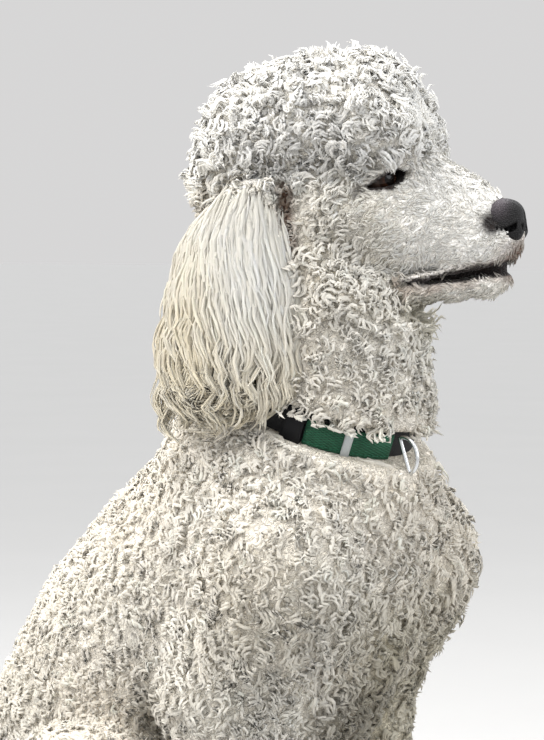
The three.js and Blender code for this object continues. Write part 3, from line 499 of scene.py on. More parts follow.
def grid_of(field, low, high, step):
    """Field values on a grid, worked out closely only near the surface."""
    counts = [int(math.ceil((b - a) / step / COARSE)) * COARSE + 1 for a, b in zip(low, high)]
    axes = [a + step * np.arange(n, dtype=np.float32) for a, n in zip(low, counts)]
    rough_axes = [axis[::COARSE] for axis in axes]
    rough_points = np.stack(np.meshgrid(*rough_axes, indexing="ij"), -1).reshape(-1, 3)
    rough = field(rough_points).reshape([len(axis) for axis in rough_axes])
    nearest = [
        np.minimum((np.arange(n) + COARSE // 2) // COARSE, len(rough_axis) - 1)
        for n, rough_axis in zip(counts, rough_axes)
    ]
    values = rough[np.ix_(*nearest)]
    close = np.abs(values) < 8 * step + 6
    where = np.argwhere(close)
    points = np.stack([axes[i][where[:, i]] for i in range(3)], 1)
    parts = np.array_split(points, max(len(points) // 300000, 1))
    values[close] = np.concatenate([field(part) for part in parts])
    return values, np.array(low, float)


def surface_of(field, low, high, step):
    """Vertices and quads of a field's surface, one vertex in each grid cell that it crosses."""
    values, origin = grid_of(field, low, high, step)
    inside = values < 0
    nx, ny, nz = values.shape
    corners = [(i, j, k) for i in (0, 1) for j in (0, 1) for k in (0, 1)]
    count = np.zeros((nx - 1, ny - 1, nz - 1), np.int8)
    for i, j, k in corners:
        count += inside[i:nx - 1 + i, j:ny - 1 + j, k:nz - 1 + k]
    active = (count > 0) & (count < 8)
    cells = np.argwhere(active)
    number = -np.ones(active.shape, np.int64)
    number[active] = np.arange(len(cells))
    total = np.zeros((len(cells), 3))
    crossings = np.zeros(len(cells))
    for corner in corners:
        for way in range(3):
            if corner[way]:
                continue
            other = list(corner)
            other[way] = 1
            a = values[tuple((cells + corner).T)]
            b = values[tuple((cells + other).T)]
            cross = (a < 0) != (b < 0)
            place = np.array(corner, float) + np.zeros((len(cells), 3))
            place[:, way] += np.where(cross, a / np.where(cross, a - b, 1), 0)
            total[cross] += place[cross]
            crossings[cross] += 1
    points = (cells + total / crossings[:, None]) * step + origin
    quads = []
    for way in range(3):
        second, third = (way + 1) % 3, (way + 2) % 3
        first_slice = [slice(1, -1)] * 3
        next_slice = [slice(1, -1)] * 3
        first_slice[way] = slice(0, -1)
        next_slice[way] = slice(1, None)
        a, b = inside[tuple(first_slice)], inside[tuple(next_slice)]
        for leaving in (True, False):
            hit = np.argwhere((a & ~b) if leaving else (~a & b))
            base = hit.copy()
            base[:, second] += 1
            base[:, third] += 1
            ring = []
            for u, v in ((0, 0), (-1, 0), (-1, -1), (0, -1)):
                cell = base.copy()
                cell[:, second] += u
                cell[:, third] += v
                ring.append(number[tuple(cell.T)])
            ring = np.stack(ring, 1)
            quads.append(ring if leaving else ring[:, ::-1])
    quads = np.concatenate(quads)
    return drawn_on(field, points, step), quads[(quads >= 0).all(1)]


def drawn_on(field, points, step):
    """Moves points on to the field's surface."""
    for _ in range(2):
        value = field(points.astype(np.float32))
        slope = gradient_of(field, points.astype(np.float32))
        move = -value / np.maximum((slope * slope).sum(1), 0.25)
        points = points + slope * np.clip(move, -step / 3, step / 3)[:, None]
    return points


# Meshes and objects

def metres(points):
    return (np.asarray(points, float) + SHIFT) * MM


def mesh_from(name, points, faces):
    """A smooth mesh in metres from points in millimetres and faces that all have as many corners."""
    mesh = bpy.data.meshes.new(name)
    faces = np.asarray(faces)
    mesh.vertices.add(len(points))
    mesh.vertices.foreach_set("co", metres(points).astype(np.float32).ravel())
    mesh.loops.add(faces.size)
    mesh.loops.foreach_set("vertex_index", faces.astype(np.int32).ravel())
    mesh.polygons.add(len(faces))
    mesh.polygons.foreach_set("loop_start", np.arange(0, faces.size, faces.shape[1], dtype=np.int32))
    mesh.polygons.foreach_set("use_smooth", np.ones(len(faces), bool))
    mesh.update(calc_edges=True)
    mesh.validate()
    return mesh


def colour_points(mesh, name, colours):
    attribute = mesh.color_attributes.new(name, "FLOAT_COLOR", "POINT")
    rows = np.ones((len(colours), 4), np.float32)
    rows[:, :3] = colours
    attribute.data.foreach_set("color", rows.ravel())


def mark_points(mesh, name, values):
    """Stores a number, or a row of three, with each point of a mesh."""
    kind, key = ("FLOAT", "value") if values.ndim == 1 else ("FLOAT_VECTOR", "vector")
    attribute = mesh.attributes.new(name, kind, "POINT")
    attribute.data.foreach_set(key, values.astype(np.float32).ravel())


def map_points(mesh, name, rows):
    """Adds a UV map in which each point of a mesh has one place."""
    layer = mesh.uv_layers.new(name=name)
    corners = np.empty(len(mesh.loops), np.int32)
    mesh.loops.foreach_get("vertex_index", corners)
    layer.data.foreach_set("uv", rows[corners].astype(np.float32).ravel())


def linked(name, data):
    item = bpy.data.objects.new(name, data)
    bpy.context.scene.collection.objects.link(item)
    return item


def place_piece(name, mesh, material, nodes=()):
    """Links a finished mesh as a piece that rides on the still body."""
    piece = linked(name, mesh)
    mesh.materials.append(material)
    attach(piece, "root")
    if nodes:
        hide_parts(*nodes)
    return piece


# Shader maths

def maths(operation, reflected=False):
    """A method of Value for one operator."""
    def method(self, other):
        first, second = (other, self) if reflected else (self, other)
        return self.finish.node("ShaderNodeMath", {"operation": operation}, {0: first, 1: second}).value(0)
    return method


class Value:
    """A socket of a material whose maths is written in Python."""

    def __init__(self, finish, socket):
        self.finish = finish
        self.socket = socket

    __add__, __radd__ = maths("ADD"), maths("ADD", True)
    __sub__, __rsub__ = maths("SUBTRACT"), maths("SUBTRACT", True)
    __mul__, __rmul__ = maths("MULTIPLY"), maths("MULTIPLY", True)
    __truediv__, __rtruediv__ = maths("DIVIDE"), maths("DIVIDE", True)
    __pow__, __rpow__ = maths("POWER"), maths("POWER", True)


class Made:
    """A node that Finish.node made, with its outputs as values."""

    def __init__(self, finish, node):
        self.finish = finish
        self.node = node

    def value(self, output):
        return Value(self.finish, self.node.outputs[output])


class Finish:
    """One material's nodes."""

    def __init__(self, name):
        self.material = bpy.data.materials.new(name)
        self.material.use_nodes = True
        self.tree = self.material.node_tree
        self.tree.nodes.clear()
        self.surface = self.node("ShaderNodeBsdfPrincipled", {}, {}).node
        self.end = self.node("ShaderNodeOutputMaterial", {}, {}).node
        self.tree.links.new(self.surface.outputs[0], self.end.inputs["Surface"])

    def node(self, kind, settings, inputs):
        """Makes a node, gives it its settings first, and then the values or links of its sockets."""
        node = self.tree.nodes.new(kind)
        for key, setting in settings.items():
            if key == "stops":
                self._set_stops(node.color_ramp, setting)
            else:
                setattr(node, key, setting)
        for key, value in inputs.items():
            self._fill(node.inputs[key], value)
        return Made(self, node)

    def _set_stops(self, ramp, stops):
        while len(ramp.elements) < len(stops):
            ramp.elements.new(0.5)
        for element, (place, colour) in zip(ramp.elements, stops):
            element.position = place
            element.color = colour if len(colour) == 4 else (*colour, 1.0)

    def _fill(self, socket, value):
        if isinstance(value, Value):
            self.tree.links.new(value.socket, socket)
        elif socket.type == "RGBA" and len(value) == 3:
            socket.default_value = (*value, 1.0)
        else:
            socket.default_value = value

    def set(self, **values):
        """Values or links of the surface's sockets, with _ for a space."""
        for key, value in values.items():
            self._fill(self.surface.inputs[key.replace("_", " ")], value)

    def let_light_through(self, colour, share):
        """Lets a share of the light soak through to the other side, as it does in wool."""
        through = self.node("ShaderNodeBsdfTranslucent", {}, {"Color": colour}).node
        both = self.node("ShaderNodeMixShader", {}, {0: share}).node
        self.tree.links.new(self.surface.outputs[0], both.inputs[1])
        self.tree.links.new(through.outputs[0], both.inputs[2])
        self.tree.links.new(both.outputs[0], self.end.inputs["Surface"])

    def place(self):
        return self.node("ShaderNodeTexCoord", {}, {}).value("Object")

    def attribute(self, name, output="Color"):
        return self.node("ShaderNodeAttribute", {"attribute_name": name}, {}).value(output)

    def noise(self, place, scale, detail=3.0, roughness=0.5):
        inputs = {"Vector": place, "Scale": scale, "Detail": detail, "Roughness": roughness}
        return self.node("ShaderNodeTexNoise", {}, inputs).value(0)

    def stretched(self, place, scale):
        return self.node("ShaderNodeMapping", {}, {"Vector": place, "Scale": scale}).value(0)

    def mix(self, share, first, second, blend="MIX"):
        settings = {"data_type": "RGBA", "blend_type": blend}
        return self.node("ShaderNodeMix", settings, {0: share, 6: first, 7: second}).value(2)

    def ramp(self, share, stops):
        return self.node("ShaderNodeValToRGB", {"stops": stops}, {0: share}).value(0)

    def bump(self, height, distance, strength=1.0):
        inputs = {"Height": height, "Distance": distance, "Strength": strength}
        return self.node("ShaderNodeBump", {}, inputs).value(0)


def coat_finish():
    """Curls: the root's tint, with painted shade deep in the coat and fine strands along each curl."""
    finish = Finish("curls")
    along = finish.attribute("along", "Fac")
    streaks = finish.noise(finish.attribute("strand", "Vector"), 1.0, 2.0)
    shade = finish.mix(streaks, (1.08, 1.08, 1.08), (0.86, 0.845, 0.81))
    shade = finish.mix(1.0, finish.attribute("tint"), shade, "MULTIPLY")
    # Painted shade: each curl is a little darker at its root, deep in the coat.
    depth = finish.ramp(along, [(0.0, (0.92, 0.90, 0.85)), (0.4, (1, 1, 1))])
    shade = finish.mix(1.0, shade, depth, "MULTIPLY")
    finish.set(Base_Color=shade, Roughness=0.85, Normal=finish.bump(streaks, 0.0005, 0.6))
    finish.set(Sheen_Weight=0.25, Sheen_Roughness=0.5, Specular_IOR_Level=0.15)
    finish.let_light_through((0.93, 0.91, 0.86), 0.5)
    return finish.material


def skin_finish():
    """The woolly ground and short-haired skin: the markings as a tint, with small curls as bump, painted
    shade in the curls' hollows and on the ground under a deep coat.
    """
    finish = Finish("short_coat")
    place = finish.place()
    swirl = finish.noise(place, 120.0, 2.0) * 0.02
    bent = finish.node("ShaderNodeVectorMath", {"operation": "ADD"}, {0: place, 1: swirl}).value(0)
    curls = finish.noise(bent, 230.0, 3.0, 0.6)
    curls = finish.ramp(curls, [(0.36, (0, 0, 0)), (0.62, (1, 1, 1))])
    broad = finish.noise(place, 45.0, 3.0)
    deep = finish.attribute("deep", "Fac")
    # Painted shade in the hollows of the ground's small curls and painted light on their tops, where the bump
    # raises them.
    shade = finish.mix(curls, finish.mix(deep, (0.86, 0.84, 0.81), (0.88, 0.865, 0.82)), (1.10, 1.10, 1.10))
    shade = finish.mix(1.0, finish.attribute("tint"), shade, "MULTIPLY")
    shade = finish.mix(broad * 0.5, shade, (0.86, 0.82, 0.76), "MULTIPLY")
    # Painted shade: the ground is darker where the coat over it is deep.
    shade = finish.mix(deep, shade, (0.93, 0.91, 0.87), "MULTIPLY")
    finish.set(Base_Color=shade, Roughness=0.85, Normal=finish.bump(curls, 0.003, 1.0))
    finish.set(Specular_IOR_Level=0.2, Sheen_Weight=0.1)
    return finish.material


# Markings, with painted shade and painted light, as tints in linear light
CREAM = np.array([0.86, 0.835, 0.785])
WARM_CREAM = CREAM * (1.02, 0.985, 0.94)
CROWN_PAINTED_LIGHT = np.array([1.0, 0.995, 0.985])
MUZZLE_WHITE = np.array([1.04, 1.03, 1.01])
LOW_OLIVE_AND_SHADE = np.array([0.68, 0.64, 0.51])
CHEST_PAINTED_SHADE = np.array([0.46, 0.42, 0.315])
THROAT_PAINTED_SHADE = np.array([0.55, 0.52, 0.41])
GAP_PAINTED_SHADE = np.array([0.21, 0.185, 0.14])
EAR_PALE = np.array([0.93, 0.92, 0.89])
EAR_CREAM = np.array([0.86, 0.775, 0.60])
RIM_DARK = np.array([0.022, 0.014, 0.012])
LIP_BROWN = np.array([0.16, 0.085, 0.055])
CREASE_RED = np.array([0.42, 0.25, 0.17])
# The way towards the shaded part of the chest: along x, along y
CHEST_WAY = (0.766, 0.643)
# Painted shade in the gaps in front of the belly and behind the elbows: middle, radius
GAPS = (((92, 0, 268), 62), ((-30, -78, 284), 34), ((-30, 78, 284), 34))


def ripples(points, size, seed):
    """A smooth pattern from -1 to 1 whose swells are about one size across."""
    random = np.random.default_rng(seed)
    total = np.zeros(len(points))
    for _ in range(7):
        way = random.normal(size=3)
        way *= 2 * math.pi / (size * 2.2 * np.linalg.norm(way)) * random.uniform(0.7, 1.4)
        total += np.sin(points @ way + random.uniform(0, 2 * math.pi))
    return np.clip(total / 3.2, -1, 1)


def line_distance(points, line, side):
    best = np.full(len(points), 1e3)
    places = [on_side(place, side) for place in line]
    for a, b in zip(places, places[1:]):
        along = np.clip((points - a) @ (b - a) / ((b - a) @ (b - a)), 0, 1)
        best = np.minimum(best, np.linalg.norm(points - a - along[:, None] * (b - a), axis=1))
    return best


def mixed(base, colour, share):
    return base + (colour - base) * np.clip(share, 0, 1)[:, None]


def markings_and_painted_light(points):
    """The coat's tint at points of the body: its markings, with painted shade and painted light laid over
    them.
    """
    def marked(colour, strength, centre, radius):
        far = np.linalg.norm(points - np.asarray(centre, float), axis=1)
        return mixed(tint, colour, strength * np.clip(1 - far / radius, 0, 1))

    behind, _, height = head_coordinates(points)
    tint = np.tile(CREAM, (len(points), 1)) * (1 + 0.05 * ripples(points, 60, 3))[:, None]
    tint = mixed(tint, WARM_CREAM, 0.5 + 0.5 * ripples(points, 90, 11))
    # Warm olive towards the bottom and most on the chest's front: partly the lower coat's own warmer tone,
    # partly painted shade on the lower, shaded parts.
    low = np.clip((430 - height) / 240, 0, 1) * (0.5 + 0.5 * ripples(points, 70, 17))
    front = np.clip((points[:, 0] - 10) / 60, 0, 1)
    tint = mixed(tint, LOW_OLIVE_AND_SHADE, low * (0.30 + 0.5 * front))
    # Painted shade: dark olive low on the chest towards its left front, in the shaded hollow before the left
    # foreleg.
    chest = np.clip((CHEST_WAY[0] * points[:, 0] + CHEST_WAY[1] * points[:, 1] - 42) / 28, 0, 1)
    chest = chest * np.clip((392 - height) / 50, 0, 1)
    tint = mixed(tint, CHEST_PAINTED_SHADE, chest * (0.68 + 0.3 * ripples(points, 24, 23)))
    # Painted light: the top of the head turns whiter with height, where the light falls on it.
    tint = mixed(tint, CROWN_PAINTED_LIGHT, np.clip((height - 645) / 40, 0, 1))
    tint = marked(MUZZLE_WHITE, 2.2, in_head(52, 0, 632), 68)
    # Painted shade in the gaps between the legs and behind the elbows.
    for centre, radius in GAPS:
        tint = marked(GAP_PAINTED_SHADE, 1.35, centre, radius)
    # Painted shadow under the jaw, on the throat.
    tint = marked(THROAT_PAINTED_SHADE, 1.0, in_head(88, 0, 572), 36)
    near_nose = np.clip((60 - behind) / 35, 0, 1)
    for side in BOTH:
        eye, _, back = eye_frame(side)
        opening, far = eye_opening(side, points)
        rim = np.clip(1.5 - opening / 2.4, 0, 1) * (far < EYE_RADIUS + 7)
        corner = eye - back * 13.5 + UP * 2 + HEAD_FORWARD * 4
        tint = marked(CREASE_RED, 0.8, corner, 12)
        tint = marked(RIM_DARK, 1.5, corner + back * 1.5, 6.5)
        tint = marked(RIM_DARK, 1.8, eye + back * 17.5 - UP * 8.5, 7.5)
        tint = mixed(tint, RIM_DARK, rim * 1.3)
        upper = line_distance(points, UPPER_LIP, side)
        tint = mixed(tint, LIP_BROWN, np.clip(1 - (upper - 2.2) / 3.5, 0, 1) * (0.25 + 0.7 * near_nose))
        lower = line_distance(points, LOWER_LIP, side)
        tint = mixed(tint, CREASE_RED, 0.5 * np.clip(1 - (lower - 2.0) / 2.5, 0, 1))
        # Painted shadow of the ear's front edge along the fold where it meets the head, over reddish hair
        # roots there.
        fold = line_distance(points, EAR_FOLD, side)
        tint = mixed(tint, CREASE_RED * 0.4, (1 - fold / 9) * 1.3)
    tint = marked(LIP_BROWN, 1.7, in_head(16, 0, 607), 23)
    for side in BOTH:
        tint = marked(RIM_DARK * 0.6, 2.0, on_side(WING_PLACE, side), WING_REACH)
    # Near black along the lips' edges and inside the open mouth: the lips' own dark edge, and painted shade
    # inside the mouth.
    reach = 2.4 - 1.5 * np.clip((behind - 45) / 30, 0, 1)
    inside = np.clip(reach - mouth_gap(points) * 1.2, 0, 1) * (behind < 92)
    return mixed(tint, RIM_DARK, inside)


def unwrap(piece):
    """Unwraps a skin by its own shape."""
    bpy.ops.object.select_all(action="DESELECT")
    bpy.context.view_layer.objects.active = piece
    piece.select_set(True)
    bpy.ops.object.mode_set(mode="EDIT")
    bpy.ops.mesh.select_all(action="SELECT")
    bpy.ops.uv.smart_project(angle_limit=math.radians(66), island_margin=0.001)
    bpy.ops.object.mode_set(mode="OBJECT")


class Ground:
    """The skin's triangles, for growing tufts on them."""

    def __init__(self, mesh, points):
        mesh.calc_loop_triangles()
        count = len(mesh.loop_triangles)
        corners = np.empty(count * 3, np.int32)
        mesh.loop_triangles.foreach_get("vertices", corners)
        loops = np.empty(count * 3, np.int32)
        mesh.loop_triangles.foreach_get("loops", loops)
        self.corners = corners.reshape(-1, 3)
        uv = np.empty(len(mesh.loops) * 2, np.float32)
        mesh.uv_layers[0].data.foreach_get("uv", uv)
        self.uv = uv.reshape(-1, 2)[loops.reshape(-1, 3)]
        self.points = points
        a, b, c = (points[self.corners[:, i]] for i in range(3))
        normal = np.cross(b - a, c - a)
        self.area = np.linalg.norm(normal, axis=1) / 2
        self.middle = (a + b + c) / 3
        self.normal = normal / np.maximum(2 * self.area, 1e-9)[:, None]
        smooth = np.zeros_like(points)
        for i in range(3):
            np.add.at(smooth, self.corners[:, i], normal)
        self.smooth = smooth / np.maximum(np.linalg.norm(smooth, axis=1), 1e-9)[:, None]

    def scatter(self, spacing, random):
        """Roots at about the spacing given for each triangle: place, normal and place on the unwrap."""
        wanted = np.where(spacing > 0, self.area / np.maximum(spacing, 0.1) ** 2, 0)
        total = np.cumsum(wanted)
        ticks = np.arange(random.uniform(), total[-1], 1.0)
        chosen = np.searchsorted(total, ticks)
        u, v = random.uniform(size=(2, len(chosen)))
        over = u + v > 1
        u, v = np.where(over, 1 - u, u), np.where(over, 1 - v, v)
        shares = np.stack([1 - u - v, u, v], 1)
        place = (self.points[self.corners[chosen]] * shares[..., None]).sum(1)
        normal = (self.smooth[self.corners[chosen]] * shares[..., None]).sum(1)
        normal /= np.maximum(np.linalg.norm(normal, axis=1), 1e-9)[:, None]
        spot = (self.uv[chosen] * shares[..., None]).sum(1)
        return place, normal, spot


def unit(vectors):
    return vectors / np.maximum(np.linalg.norm(vectors, axis=-1, keepdims=True), 1e-9)


def tufts_mesh(name, lines, radii, tints, spots, across, flat=1.0, sides=3, streaks=3.4):
    """One mesh of tufts, each a closed tapered tube along its own line and wide the way across.

    lines is (tufts, rings, 3), radii (tufts, rings - 1), and the last point of each line is the tip.
    """
    count, rings, _ = lines.shape
    tangent = unit(np.gradient(lines, axis=1))
    second = unit(np.cross(tangent, across[:, None, :]))
    first = np.cross(second, tangent)
    angles = 2 * np.pi * np.arange(sides) / sides
    wide = np.cos(angles)[:, None] * first[:, :-1, None, :]
    thick = flat * np.sin(angles)[:, None] * second[:, :-1, None, :]
    body = lines[:, :-1, None, :] + radii[..., None, None] * (wide + thick)
    points = np.concatenate([body.reshape(count, -1, 3), lines[:, -1:, :]], 1)
    size = (rings - 1) * sides + 1
    last = (rings - 2) * sides
    faces = []
    for ring in range(rings - 2):
        for side in range(sides):
            a, b = ring * sides + side, ring * sides + (side + 1) % sides
            faces += [(a, b, b + sides), (a, b + sides, a + sides)]
    faces += [(last + side, last + (side + 1) % sides, size - 1) for side in range(sides)]
    faces += [(0, side + 1, side) for side in range(1, sides - 1)]
    faces = (np.array(faces)[None] + size * np.arange(count)[:, None, None]).reshape(-1, 3)
    mesh = mesh_from(name, points.reshape(-1, 3), faces)
    if tints.ndim == 3:
        rows = np.concatenate([np.repeat(tints[:, :-1], sides, axis=1), tints[:, -1:]], 1).reshape(-1, 3)
    else:
        rows = np.repeat(tints, size, 0)
    colour_points(mesh, "tint", rows)
    along = np.append(np.repeat(np.arange(rings - 1), sides), rings - 1) / (rings - 1)
    mark_points(mesh, "along", np.tile(along, count))
    around = np.append(np.tile(np.arange(sides), rings - 1), 1.0)
    shift = np.repeat(np.arange(count) * 1.37 % 97, size)
    strand = (np.tile(around * streaks, count), np.tile(along * 1.6, count), shift)
    mark_points(mesh, "strand", np.stack(strand, 1))
    if spots is not None:
        lay_patches(mesh, spots, along, sides)
    return mesh


def face_out(mesh, outwards, share=0.62):
    """Turns the tufts' shading towards the way out of the coat, so that they read as wool and not as wire."""
    own = np.empty(len(mesh.vertices) * 3, np.float32)
    mesh.vertex_normals.foreach_get("vector", own)
    own = own.reshape(-1, 3)
    outwards = np.repeat(outwards, len(mesh.vertices) // len(outwards), 0)
    agree = share * np.clip(0.6 + (own * outwards).sum(1), 0, 1)[:, None]
    turned = unit(own * (1 - agree) + outwards * agree)
    mesh.normals_split_custom_set_from_vertices(turned.tolist())


# The breadth of a tuft's patch on the skin's unwrap
PATCH = 0.003


def lay_patches(mesh, spots, along, sides):
    """A map in which each tuft is a small patch at its root's place on the skin's unwrap."""
    around = np.append(np.tile(np.arange(sides) / sides, len(along) // sides), 0.5)
    local = (np.stack([around, along], 1) - 0.5) * PATCH
    rows = (spots[:, None, :] + local[None]).reshape(-1, 2)
    map_points(mesh, "OFBake", np.clip(rows, 0, 1))


# Ways that the coat lies on the trunk, the chest, the legs and the neck
LIE_BACK = np.array([-0.75, 0, -0.8])
LIE_CHEST = np.array([0.45, 0, -1.0])
LIE_LEGS = np.array([-0.12, 0, -1.0])
LIE_NECK = np.array([-0.1, 0, -1.0])


def lie_of(points, normals):
    """The way the coat lies over the skin at points of it."""
    behind, left, height = head_coordinates(points)
    lie = LIE_BACK + (LIE_CHEST - LIE_BACK) * np.clip((points[:, 0] + 110) / 130, 0, 1)[:, None]
    lie = lie + (LIE_LEGS - lie) * np.clip((330 - height) / 80, 0, 1)[:, None]
    lie = lie + (LIE_NECK - lie) * np.clip((height - 470) / 60, 0, 1)[:, None]
    on_face = (height > 566) & (behind < 150)
    fall = 0.3 + 1.5 * np.clip((behind - 90) / 50, 0, 1)
    lie = np.where(on_face[:, None], -HEAD_FORWARD - fall[:, None] * UP, lie)
    over_eye = on_face & (height > EYE_PLACE[2] + 5) & (np.abs(behind - 108) < 22) & (np.abs(left) > 14)
    lie = np.where(over_eye[:, None], HEAD_FORWARD * 0.25 - UP, lie)
    return unit(lie - normals * (lie * normals).sum(1)[:, None])


def clear_of_eyes(lines):
    """Which lines leave the lids' openings free."""
    free = np.ones(len(lines), bool)
    for side in BOTH:
        opening, far = eye_opening(side, lines.reshape(-1, 3))
        crossing = (opening < -1.2) & (far < EYE_RADIUS + 16)
        free &= ~crossing.reshape(lines.shape[:2]).any(axis=1)
    return free


def turned_from_collar(roots, normals):
    """Normals on the walls of the collar's groove turned outwards, as those of the hair beside it."""
    around, radius, height = in_collar(roots)
    outwards = collar_points(around, 1.0, 0.0) - np.array([COLLAR_PLACE[0], 0, COLLAR_PLACE[1]])
    share = np.clip((STRAP_WIDTH / 2 + 6 - np.abs(height)) / 4, 0, 1) * (radius < 90)
    return unit(normals * (1 - share)[:, None] + outwards * share[:, None])


def parted_at_collar(lines):
    """Hair moved clear of the collar, above or below it as its root is."""
    _, radius, height = in_collar(lines)
    way = np.where(height[:, :1] > 0, 1, -1)
    lap = 3.2 * np.clip((radius - COLLAR_RADIUS - 4) / 2, 0, 1)
    edge = STRAP_WIDTH / 2 + np.where(way > 0, 0.4 - lap, 0.9)
    close = (radius > COLLAR_RADIUS - 4) & (radius < COLLAR_RADIUS + 28)
    push = np.where(close, np.maximum(edge - height * way, 0), 0) * way
    push = np.maximum.accumulate(np.abs(push), axis=1) * way
    axis = np.array([math.sin(COLLAR_TILT), 0, math.cos(COLLAR_TILT)])
    return lines + push[..., None] * axis


def ring_frame():
    """The ring's own frame, which stands out from the strap with its foot leaning away."""
    away = RIBBON_OUT + RING_WIRE + 0.5 + RING_RADIUS * math.sin(-RING_LEAN)
    turn = Matrix.Translation((COLLAR_PLACE[0], 0, COLLAR_PLACE[1])) @ Matrix.Rotation(COLLAR_TILT, 4, "Y")
    turn = turn @ Matrix.Rotation(RING_ANGLE, 4, "Z") @ Matrix.Translation((away, 0, -4))
    turn = turn @ Matrix.Rotation(RING_LEAN, 4, "Y") @ Matrix.Rotation(-math.pi / 2, 4, "Z")
    return turn @ Matrix.Rotation(math.pi / 2, 4, "X")


RING_TO_OWN = np.array(ring_frame().inverted())


def near_ring(points):
    """How far points are from the flat room that the ring needs, in millimetres."""
    own = points @ RING_TO_OWN[:3, :3].T + RING_TO_OWN[:3, 3]
    over = np.maximum(np.abs(own) - np.array([0.5, RING_RADIUS + 2, 0]), 0)
    over[..., 2] = np.maximum(own[..., 2] - 2, 0) + np.maximum(-own[..., 2] - RING_BULGE - 3, 0)
    return np.linalg.norm(over, axis=-1)


class Clumps:
    """Curls of several strands each: which curl every strand belongs to, and the curls' own values."""

    def __init__(self, roots, strands, random):
        self.random = random
        self.number = max(len(roots) // strands, 1)
        chosen = random.permutation(len(roots))[:self.number]
        tree = KDTree(self.number)
        for place, index in enumerate(chosen):
            tree.insert(roots[index], place)
        tree.balance()
        self.member = np.array([tree.find(root)[1] for root in roots])
        self.centre = roots[chosen][self.member]
        self.chosen = chosen

    def value(self, low, high):
        return self.random.uniform(low, high, self.number)[self.member]


def curly_lines(roots, normals, clumps, lengths, lean, curl, turns, rings, random, gather=0.55):
    """Lines of strands that curl together, clump by clump, and lean along the coat's lie."""
    count = len(roots)
    normals = unit(normals + normals[clumps.chosen][clumps.member] * 1.5)
    lie = lie_of(roots, normals)
    lie = unit(lie + lie[clumps.chosen][clumps.member])
    sideways = np.cross(normals, lie)
    turn = clumps.value(0, 2 * np.pi) + random.normal(0, 0.35, count)
    way = ripples(roots, 24, 5) * 1.2 + clumps.value(-0.9, 0.9) + random.normal(0, 0.15, count)
    lean_way = lie * np.cos(way)[:, None] + sideways * np.sin(way)[:, None]
    axis = unit(normals + lean_way * (lean * clumps.value(0.6, 1.4))[:, None])
    first = unit(np.cross(axis, lie + 0.01))
    second = np.cross(axis, first)
    share = np.linspace(0, 1, rings)[None, :]
    rise = (lengths[:, None] * share)[..., None] * axis[:, None, :]
    droop = (lengths[:, None] * 0.22 * share ** 2)[..., None] * lie[:, None, :]
    angle = (turn[:, None] + turns[:, None] * 2 * np.pi * share)[..., None]
    swing = (curl[:, None] * np.minimum(share * 2.2, 1.0))[..., None]
    coil = swing * (np.cos(angle) * first[:, None, :] + np.sin(angle) * second[:, None, :])
    inward = (clumps.centre - roots)[:, None, :] * (gather * share ** 0.8)[..., None]
    start = roots[:, None, :] - normals[:, None, :] * 1.5
    return start + rise + droop + coil + inward, np.cross(normals, axis)


def tuft_tints(points, clumps, random, spread=0.05):
    own = 1 + random.normal(0, spread, len(points)) + clumps.value(-spread, spread) * 1.4
    return np.clip(markings_and_painted_light(points) * own[:, None], 0.01, 0.93)


# What the coat's pieces share once the skin is made
shared = {}


def region_masks(points):
    """Which coat piece each point of the skin belongs to."""
    behind, left, height = head_coordinates(points)
    x, y = points[:, 0], points[:, 1]
    top_line = 677 - (behind - 85) * (36 / 130)
    brow = (behind > 90) & (behind < 150) & (np.abs(left) > 12)
    top_line = np.where(brow, np.minimum(top_line, 668.5), top_line)
    ear = np.zeros(len(points), bool)
    for side in BOTH:
        plane_point, normal = ear_plane(side)
        out = (points - plane_point) @ normal
        ear |= (out > 1.0) & (behind > 156) & (height < 636) & (height > 530)
    head = height > 567
    masks = {
        "topknot": head & ~ear & (height > top_line) & (behind > np.where(np.abs(left) > 18, 72, 84)),
        "ears": ear,
    }
    masks["face"] = head & ~ear & ~masks["topknot"] & (behind < 142)
    masks["neck"] = ~ear & ~masks["topknot"] & ~masks["face"] & (height > 452 - 0.57 * (x - 28))
    taken = masks["topknot"] | masks["ears"] | masks["face"] | masks["neck"]
    masks["tail"] = ~taken & (x < -235)
    masks["fore_legs"] = ~taken & (height < 292) & (x > -14)
    masks["hind_legs"] = ~taken & (x <= -14) & (np.abs(y) > 62) & (height < 262) & ~masks["tail"]
    taken |= masks["tail"] | masks["fore_legs"] | masks["hind_legs"]
    masks["chest"] = ~taken & (x > -28)
    masks["back"] = ~taken & (x <= -28)
    for name in ("fore_legs", "hind_legs", "back"):
        whole = masks.pop(name)
        masks[f"{name}_right"], masks[f"{name}_left"] = whole & (y < 0), whole & (y >= 0)
    return masks


# Room that hair leaves free: round the ring at its roots and along its lines, and above the floor
ROOTS_OFF_RING, LINES_OFF_RING, OFF_FLOOR = 7, 2.2, 2.4


